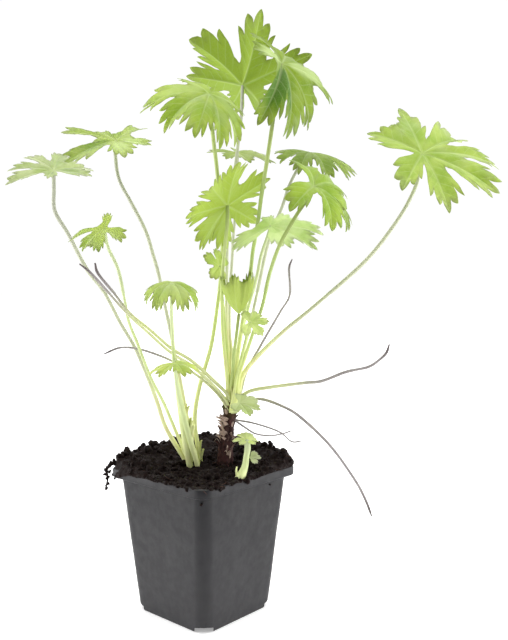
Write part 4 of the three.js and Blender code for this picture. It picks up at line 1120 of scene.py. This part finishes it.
def papery_scale(rng, soup, base, outward, length, width, curl, **values):
    """A thin dry bract that clasps the stalk and curls away at its tip."""
    rows, columns = SCALE_GRID
    sideways = unit(np.cross(UP, outward))
    twist = rng.normal(scale=0.25)
    points = []
    for side in (SCALE_HALF_THICKNESS, -SCALE_HALF_THICKNESS):
        for s in np.arange(rows) / (rows - 1):
            half = width * 0.5 * math.sin(math.pi * (0.18 + 0.8 * s) ** 0.9) ** 0.7
            for t in 2 * np.arange(columns) / (columns - 1) - 1:
                bow = -0.35 * width * t * t
                away = outward * (bow + length * curl * s * s + side)
                points.append(base + UP * length * s * (1 - 0.25 * curl * s) + away
                              + sideways * (half * t + twist * length * s * s * 0.4))
    count = rows * columns
    front = grid_faces(rows, columns, closed=False)
    border = list(range(columns))
    border += [i * columns + columns - 1 for i in range(1, rows)]
    border += [count - 1 - i for i in range(1, columns)]
    border += [i * columns for i in range(rows - 2, 0, -1)]
    faces = [face[::-1] for face in front] + [[v + count for v in face] for face in front]
    faces += [[a, a + count, b + count, b] for a, b in zip(border, border[1:] + border[:1])]
    soup.add(points, faces, **values)


def rhizome_wood(soup):
    """The ringed, rough stem itself."""
    low, high = RHIZOME_AXIS[0][2] - 4, RHIZOME_AXIS[-1][2]
    angles = np.arange(RHIZOME_SIDES) * FULL_TURN / RHIZOME_SIDES
    outward = np.stack([np.cos(angles), np.sin(angles), 0 * angles], axis=-1)
    rings = []
    for z in np.linspace(low, high, RHIZOME_ROWS):
        centre, radius = rhizome_at(z)
        ring = centre + radius * outward
        scar = 0.45 * np.abs(np.sin(z * 0.85 + 1.6 * np.sin(angles * 2 + z * 0.1)))
        rough = 0.8 * waves(ring * (1, 1, 0.35), 3.2, seed=31) + 0.5 * waves(ring, 5, seed=32)
        rings.append(ring + outward * (scar + rough - 0.6)[:, None])
    foot = (*RHIZOME_AXIS[0][:2], low)
    top = (*RHIZOME_AXIS[-1][:2], high + 1.6)
    points = np.vstack([*rings, foot, top])
    faces = capped_faces(RHIZOME_ROWS, RHIZOME_SIDES)
    soup.add(points, faces, tone=0.12 + 0.12 * waves(points, 4, seed=33))


def rhizome_scales(rng, soup):
    """Scales all around, every fourth one paler, and papery ones towards the left stems."""
    kinds = [BARK_SCALE if i % 4 else PALE_SCALE for i in range(BARK_SCALES)] + [LEFT_SCALE] * LEFT_SCALES
    for kind in kinds:
        z, angle, tone, curl, length, width = [rng.uniform(low, high) for low, high in kind]
        base, outward = rhizome_side(z, angle, sunk=0.5)
        papery_scale(rng, soup, base, outward, length, width, curl, tone=tone)


def rootlets(rng, soup):
    """Short fine roots that stick out from the rhizome."""
    for _ in range(ROOTLETS):
        start, outward = rhizome_side(rng.uniform(112, 146), rng.uniform(0, FULL_TURN))
        drift = rng.normal(scale=0.8, size=3)
        route = [start, start + outward * 1.4 + drift + (0, 0, rng.uniform(-1, 2.5)),
                 start + outward * 3.0 + 2 * drift + (0, 0, rng.uniform(-3, 5))]
        points, share = curve_through(route, 0.8)
        tube(soup, points, 0.24 - 0.14 * share, 5, tone=rng.uniform(0.3, 0.9))


def make_rhizome():
    rng = np.random.default_rng(RHIZOME_SEED)
    soup = Soup()
    rhizome_wood(soup)
    rhizome_scales(rng, soup)
    rootlets(rng, soup)
    soup.piece("rhizome_bark", rhizome_material(), "rhizome", ["rhizome"])


# ---- leaf blades ----

def blade_axes(lean, turn):
    """Unit vectors of a blade that is turned about Z and then leant over: its normal, the way its middle lobe
    points, and the way to the left of that."""
    azimuth, tilt = np.radians(lean)
    normal = math.sin(tilt) * bearing(azimuth) + math.cos(tilt) * UP
    hinge, heading = beside(azimuth), bearing(math.radians(turn))
    along = (heading * math.cos(tilt) + np.cross(hinge, heading) * math.sin(tilt)
             + hinge * np.dot(hinge, heading) * (1 - math.cos(tilt)))
    return normal, along, np.cross(normal, along)


def blade_bend(lobes, angle):
    """Lift and droop in radians at angles about the hub, blended smoothly from lobe to lobe."""
    first, last = lobes[0], lobes[-1]
    closed = np.array([(last[0] - 360, *last[1:]), *lobes, (first[0] + 360, *first[1:])], float)
    i = np.clip(np.searchsorted(closed[:, 0], angle, side="left") - 1, 0, len(closed) - 2)
    start, end = closed[i], closed[i + 1]
    t = smooth_step(start[:, 0], end[:, 0], angle)[:, None]
    lift, droop = (start[:, 2:] + (end[:, 2:] - start[:, 2:]) * t).T
    return np.radians(lift), np.radians(np.where(np.abs(droop) < LEAST_DROOP, LEAST_DROOP, droop))


def tooth_edge(start, end, from_tip):
    """Samples from start up to end: steep at the notch, rounded over the tip."""
    t = np.arange(OUTLINE_STEPS) / OUTLINE_STEPS
    run, power = TOOTH_EASE
    ease = 1 - (1 - t**run) ** power if from_tip else (1 - (1 - t) ** run) ** power
    return np.stack([start[0] + (end[0] - start[0]) * t, start[1] + (end[1] - start[1]) * ease], axis=-1)


def half_lobe(rng, slit, teeth, narrow, taper):
    """Share of the half sector and of the lobe's length, from the tip to just before the cut's bottom.
    slit: where the cut starts. narrow: how wide it is. taper: how much shorter its other teeth are."""
    corners = [(0.0, 1.0)]
    for share, length in teeth[1:]:
        length -= taper * min(1, 1.8 * share)
        share = (share + rng.normal(scale=0.025)) * (1 - narrow * min(1, 1.25 * share))
        corners.append((share, max(length + rng.normal(scale=0.02), slit + 0.03)))
    samples = []
    for i, (start, end) in enumerate(zip(corners, corners[1:])):
        samples.append(tooth_edge(start, end, from_tip=i % 2 == 0))
    share, length = corners[-1]
    drop = length - slit
    path = [corners[-1], (share * 1.07, slit + drop * 0.62), (share * 1.02, slit + drop * 0.22), (1.0, slit)]
    for start, end in zip(path, path[1:]):
        t = (np.arange(OUTLINE_STEPS) / OUTLINE_STEPS)[:, None]
        samples.append(np.array(start) + (np.array(end) - np.array(start)) * t)
    return np.concatenate(samples)


def blade_outline(blade, rng):
    """The margin counterclockwise from the deep notch where the petiole comes in.
    Columns: angle, distance, the lobe's angle, half sector on this side, number of the cut on this side."""
    lobes, reach = blade["lobes"], blade["reach"]
    teeth = YOUNG_TEETH if reach <= YOUNG_REACH else LOBE_TEETH
    drawn = [(SLIT_FRACTION + rng.normal(scale=0.03), OPEN_SLIT * rng.random() ** 1.5) for _ in lobes[1:]]
    opening = (0, blade.get("opening", USUAL_OPENING))
    cuts = [opening, *blade.get("cuts", drawn), opening]
    rows = []
    for i, (angle, length, *_) in enumerate(lobes):
        taper = blade.get("pointed", {}).get(angle, 0)
        for side in (-1, 1):
            neighbour = i + side
            inner = 0 <= neighbour < len(lobes)
            cut = max(i, neighbour)
            start, narrow = cuts[cut]
            gap = abs(lobes[neighbour][0] - angle) / 2 if inner else LOBE_HALF_SECTOR
            half = min(gap, LOBE_HALF_SECTOR)
            slit = start * (length + lobes[neighbour][1]) / 2 / length if inner else BACK_SLIT
            samples = half_lobe(rng, slit, teeth, narrow, taper)
            widening = 0 if inner else 0.25 * smooth_step(0.7, 0.45, samples[:, 1])
            around = angle + side * samples[:, 0] * half * (1 + widening)
            owner = np.broadcast_to((angle, half, cut), (len(samples), 3))
            block = np.column_stack([around, samples[:, 1] * length * reach, owner])
            rows.append(block if side > 0 else block[:0:-1])
            if inner and side > 0:
                rows.append(np.array([[angle + gap, slit * length * reach, angle, half, cut]]))
    behind = (lobes[0][0] + lobes[-1][0] + 360) / 2
    notch = [[behind, NOTCH_DISTANCE * reach, lobes[-1][0], LOBE_HALF_SECTOR, len(lobes)]]
    return np.concatenate([*rows, notch])


def lobe_place(outline, distance, reach):
    """Place along and across each lobe, as shares of the blade's reach, and the share of the half sector."""
    swing = np.radians((outline[:, 0] - outline[:, 2] + 180) % 360 - 180)
    along = distance * np.cos(swing) / reach
    across = np.abs(distance * np.sin(swing)) / reach
    share = np.clip(np.abs(np.degrees(swing)) / outline[:, 3], 0, 1.3)
    return along, across, share


def blade_moods(blade, rng):
    """What differs at random from lobe to lobe and from blade to blade."""
    count = len(blade["lobes"])
    return {
        "twist": rng.normal(scale=LOBE_TWIST, size=count),
        "tip": rng.uniform(0, TIP_DROOP, size=count) * blade.get("tip_droop", 1),
        "ripple": rng.uniform(9, 14),
        "phase": rng.uniform(0, 6),
    }


def blade_relief(blade, outline, distance, shift, moods):
    """Height above the smooth blade: pleats at main veins, panels between side veins and a wavy margin."""
    reach = blade["reach"]
    along, across, share = lobe_place(outline, distance, reach)
    out = distance / reach
    pleat = PLEAT * out**0.8 * (2 * np.sin(np.minimum(share, 1) * math.pi / 2) - 1)
    pleat = pleat * smooth_step(1.15, 0.75, out)
    climb = (along - across * VEIN_SLOPE + shift) / VEIN_SPACING
    panel = np.abs(np.sin(climb * math.pi)) ** 0.7
    quilt = QUILT * (panel - 0.6) * smooth_step(0.15, 0.35, along) * smooth_step(0.0, 0.06, across)
    lobe = np.searchsorted(np.array([row[0] for row in blade["lobes"]]), outline[:, 2])
    swing = np.sin(np.radians(outline[:, 0] - outline[:, 2]))
    twist = moods["twist"][lobe] * out * out * swing
    tip = -moods["tip"][lobe] * np.maximum(0, out - 0.55) ** 2
    turns = np.radians(outline[:, 0]) * moods["ripple"] + moods["phase"]
    ripple = RIPPLE * smooth_step(0.45, 1.0, out) * np.sin(turns)
    return reach * (pleat + quilt + twist + tip + ripple)


def blade_points(blade, axes, outline, distance, relief):
    """Places and normals of the bent blade at each outline angle."""
    normal, along, across = axes
    angle = (outline[:, 0] + 180) % 360 - 180
    lift, droop = blade_bend(blade["lobes"], angle)
    slope = lift - droop * distance / blade["reach"]
    out = blade["reach"] / droop * (np.sin(lift) - np.sin(slope))
    up = blade["reach"] / droop * (np.cos(slope) - np.cos(lift))
    turn = np.radians(angle)[:, None]
    ray = along * np.cos(turn) + across * np.sin(turn)
    local = normal * np.cos(slope)[:, None] - ray * np.sin(slope)[:, None]
    points = np.array(blade["hub"]) + ray * out[:, None] + normal * up[:, None]
    return points + local * relief[:, None], local


def painted_shade_and_highlight(blade, angles):
    """How much shade is painted on the blade at each outline angle; below 0 where a highlight is painted."""
    depth = np.zeros(len(angles))
    for middle, spread, amount in blade.get("deep", ()):
        depth = depth + amount * smooth_step(spread, 0.45 * spread, np.abs(angles - middle))
    return depth


def blade_faces(rings, columns):
    """Faces of the upper layer, of the lower one and of the band around the margin. A layer is its rings
    from the hub to the margin and then the hub."""
    hub = rings * columns
    lower = hub + 1
    margin = hub - columns
    faces = fan_faces(hub, 0, columns)
    faces += [face[::-1] for face in grid_faces(rings, columns)]
    faces += fan_faces(lower + hub, lower, columns, flip=True)
    faces += grid_faces(rings, columns, start=lower)
    for i in range(margin, hub):
        k = i + 1 if i + 1 < hub else margin
        faces.append([i, lower + i, lower + k, k])
    return faces


def blade_rings(blade, outline):
    """For each ring of the mesh, the share of the way to the margin and the distances of its points from the
    hub. The inner rings are round and the outer ones follow the margin."""
    count = int(np.clip(blade["reach"] / BLADE_RING_SPACING, *BLADE_RINGS))
    round_reach = ROUND_HUB * blade["reach"]
    for j in range(1, count + 1):
        s = (j / count) ** 0.92
        w = s**1.4
        circle = round_reach * (1 - w) * np.minimum(1, outline[:, 1] / round_reach)
        yield s, s * (outline[:, 1] * w + circle)


def make_leaf(key, blade, material, slot, seed):
    rng = np.random.default_rng(seed)
    outline = blade_outline(blade, rng)
    axes = blade_axes(blade["lean"], blade["turn"])
    reach = blade["reach"]
    moods = blade_moods(blade, rng)
    shift = rng.uniform(0, VEIN_SPACING, size=len(blade["lobes"]) + 1)[outline[:, 4].astype(int)]
    # painted shade and painted highlights by outline angle
    depth = painted_shade_and_highlight(blade, outline[:, 0])
    layers = {1: [], -1: []}
    values = {"lobe": [], "edge": [], "deep": []}
    for s, distance in blade_rings(blade, outline):
        relief = blade_relief(blade, outline, distance, shift, moods)
        points, normals = blade_points(blade, axes, outline, distance, relief)
        thickness = BLADE_THICKNESS * (1 - 0.45 * s) * min(1, 0.5 + reach / 60)
        for side in layers:
            layers[side].append(points + normals * side * thickness / 2)
        along, across, _ = lobe_place(outline, distance, reach)
        values["lobe"].append(np.column_stack([along, across, shift]))
        values["edge"].append(np.full(len(outline), s))
        # the painted shade and highlights fade out at the hub and at the margin
        values["deep"].append(depth * smooth_step(0.12, 0.36, s) * smooth_step(1.0, 0.72, s))
    points = []
    for side, layer in layers.items():
        points += [*layer, np.array(blade["hub"]) + side * axes[0] * BLADE_THICKNESS / 2]
    for name, rows in values.items():
        rows.append(np.zeros_like(rows[0][:1]))
        values[name] = np.concatenate(rows + rows)
    rings = len(layers[1])
    values["under"] = np.repeat((0.0, 1.0), rings * len(outline) + 1)
    soup = Soup()
    soup.add(np.vstack(points), blade_faces(rings, len(outline)), **values)
    soup.piece("leaf_" + key, material, slot, ["blade_" + key])


def make_leaves():
    slots = {subpart["node"]: subpart["material_slot"] for subpart in frame["record"]["subparts"]}
    for number, (key, blade) in enumerate(BLADES.items()):
        bloom = min(MOST_BLOOM, 0.1 + 0.4 * blade["tone"][2] / 128)
        # the tone holds painted light and shade as well as the blade's own green
        material = leaf_material("leaf_" + key, srgb(*blade["tone"]), bloom)
        make_leaf(key, blade, material, slots["blade_" + key], seed=LEAF_SEED + number)


# ---- petioles, dry stalks and roots ----

def petiole_route(hub, petiole, number):
    """The petiole's course with slight bends: its points, their share of the way down from the blade, and how
    far they are from the foot."""
    start = np.subtract(hub, (0, 0, petiole.get("drop", 0)))
    points, share = curve_through([start, *petiole["route"]], 1.6)
    length = np.linalg.norm(np.diff(points, axis=0), axis=1).sum()
    bend = 0.3 * waves(points, 34, seed=BEND_SEED + number, octaves=1) * np.sin(math.pi * share)
    return points + bend[:, None] * np.array([0.7, 0.7, 0.1]), share, (1 - share) * length


def petiole_radii(petiole, points, share, above_foot, number):
    """Thin at the blade, thicker downward, widest at the foot and where the sheaths are."""
    girth = 1.2 + 0.3 * smooth_step(0.55, 1.0, share) + 0.06 * waves(points, 12, seed=GIRTH_SEED + number)
    girth *= 0.8 + 0.2 * smooth_step(0, 0.02, share)
    girth += 0.55 * smooth_step(16, 2, above_foot)
    z = points[:, 2]
    swell = petiole.get("swell", 0) * smooth_step(176, 150, z) * smooth_step(96, 120, z)
    return petiole["radius"] * girth + swell


def petiole_sheaths(rng, soup, petiole, points, above_foot):
    """Papery sheaths near the foot of a long petiole, and larger ones higher up on a swollen one."""
    long = above_foot[0] > LONG_PETIOLE
    sheaths = [(rng.uniform(5, 14), 1.0) for _ in range(3 if long else 0)]
    sheaths += [(rng.uniform(20, 40), 1.6) for _ in range(5 if "swell" in petiole else 0)]
    for height, growth in sheaths:
        foot = points[np.abs(above_foot - height).argmin()]
        outward = bearing(rng.uniform(0, FULL_TURN))
        base = foot + outward * petiole["radius"] * growth
        length = growth * rng.uniform(7, 13)
        width = rng.uniform(2.6, 4) * growth**0.5
        curl = rng.uniform(0.02, 0.2)
        papery_scale(rng, soup, base, outward, length, width, curl, along=0.16 * (growth - 1))


def make_petioles():
    materials = {tone: stem_material("petiole_" + tone, *colours) for tone, colours in STEM_TONES.items()}
    for number, (key, petiole) in enumerate(PETIOLES.items()):
        points, share, above_foot = petiole_route(BLADES[key]["hub"], petiole, number)
        radii = petiole_radii(petiole, points, share, above_foot, number)
        soup = Soup()
        tube(soup, points, radii, PETIOLE_SIDES, ribs=0.03, along=1 - share)
        petiole_sheaths(np.random.default_rng(SHEATH_SEED + number), soup, petiole, points, above_foot)
        if key == "seedling":
            points, share = curve_through(SEEDLING_SHOOT, 1.0)
            tube(soup, points, 1.25 - 0.75 * share, 12, along=0)
        soup.piece("stem_" + key, materials[petiole["tone"]], "petiole", ["petiole_" + key])


def make_dry_stalks():
    material = dry_material()
    for number, (node, stalk) in enumerate(DRY_STALKS.items()):
        points, share = curve_through(stalk["route"], 1.3)
        girth = 0.95 + 0.5 * share + 0.1 * waves(points, 9, seed=STALK_SEED + number)
        girth *= 0.6 + 0.4 * smooth_step(0, 0.04, share)
        amount, start = stalk.get("fresh", (0, 0.5))
        still_green = amount * smooth_step(start, start + 0.28, share)
        dark = smooth_step(0.14, 0.0, share) * stalk.get("dark_tip", 0.85)
        soup = Soup()
        radii = stalk["radius"] * girth
        tube(soup, points, radii, STALK_SIDES, ribs=0.07, flat=0.85, dark=dark, fresh=still_green)
        soup.piece("old_" + node, material, "dry_stalk", [node])


# ---- floor, light and camera ----

VIEW_PITCH = 3.61  # degrees that the camera looks down
CAMERA_PLACE = (35.61, -560.1, 240.6)  # in the plant's frame
LENS_MM = 45
SENSOR_MM = 36
CLIP_START = 0.01  # metres

TO_CAMERA = (0, -1, -0.05)  # the way towards the camera's side, in the plant's frame
FRONT_WORLD = 0.04  # light from the camera's side
SIDE_WORLD = 0.98  # and from everywhere else
BACK_SHARE = 0.5  # part of that which is left straight behind
WHITE_BACKGROUND = 1.02  # what the camera sees of the world
FLOOR_HALF_WIDTH = 6.0  # metres
FLOOR_GLOW = 0.35  # near the pot
FLOOR_REACH = (0.35, 2.2)  # metres between which the floor brightens into the white behind it
# name, place and target in the plant's frame, size in metres, power in watts
LAMPS = [
    ("left_softbox", (-950, 60, 160), (0, 0, 160), 0.9, 10),
    ("right_softbox", (950, 60, 160), (0, 0, 160), 0.9, 10),
    ("overhead", (60, -60, 1250), (20, 0, 250), 1.1, 11.0),
    ("behind", (0, 900, 700), (20, 0, 280), 0.9, 4.0),
]


def make_camera():
    camera = add_object("camera", bpy.data.cameras.new("camera"))
    camera.data.lens = LENS_MM
    camera.data.sensor_width = SENSOR_MM
    camera.data.clip_start = CLIP_START
    camera.location = from_plant(CAMERA_PLACE)
    camera.rotation_euler = (math.radians(90 - VIEW_PITCH), 0, math.radians(PLANT_TURN))
    bpy.context.scene.camera = camera


def add_light(name, place, target, size, power):
    """A soft square lamp, placed in the plant's frame."""
    data = bpy.data.lights.new(name, "AREA")
    data.shape = "SQUARE"
    data.size = size
    data.energy = power
    lamp = add_object(name, data)
    place, target = from_plant(place), from_plant(target)
    lamp.location = place
    lamp.rotation_euler = Vector((target - place).tolist()).to_track_quat("-Z", "Y").to_euler()


def make_world():
    """White to the camera. As light, dimmer from the camera's side, so that the pot's corner falls dark."""
    g = Graph("studio", bpy.data.worlds)
    direction = g.node("ShaderNodeTexCoord", {}).outputs["Generated"]
    facing = g.vector_math("DOT_PRODUCT", direction, (from_plant(TO_CAMERA) / MM).tolist())
    strength = g.times(g.fit(facing, 0.2, 0.95, SIDE_WORLD, FRONT_WORLD),
                       g.fit(facing, -0.3, -1.0, 1.0, BACK_SHARE))
    seen = g.node("ShaderNodeLightPath", {}).outputs["Is Camera Ray"]
    strength = g.math("MAXIMUM", strength, g.times(seen, WHITE_BACKGROUND))
    inputs = {"Color": (1, 1, 1, 1), "Strength": strength}
    surface = g.node("ShaderNodeBackground", inputs).outputs["Background"]
    bpy.context.scene.world = g.finish(surface, "ShaderNodeOutputWorld")


def make_floor():
    g = Graph("studio_floor")
    shade = g.mix(g.noise(0.4), (0.9, 0.9, 0.9, 1), (0.93, 0.93, 0.93, 1))
    glow = g.fit(g.vector_math("LENGTH", g.place()), *FLOOR_REACH, FLOOR_GLOW, 1.0)
    material = g.finish(g.coat(shade, 0.8, Emission_Color=(1, 1, 1, 1), Emission_Strength=glow))
    half = FLOOR_HALF_WIDTH
    corners = [(-half, -half, 0), (half, -half, 0), (half, half, 0), (-half, half, 0)]
    floor = add_mesh("studio_floor", corners, [(0, 1, 2, 3)])
    floor.data.materials.append(material)


def make_studio():
    bpy.context.scene.view_settings.view_transform = "Standard"
    make_world()
    for lamp in LAMPS:
        add_light(*lamp)
    make_floor()


make_camera()
make_studio()
make_pot()
make_soil()
make_rhizome()
make_leaves()
make_petioles()
make_dry_stalks()
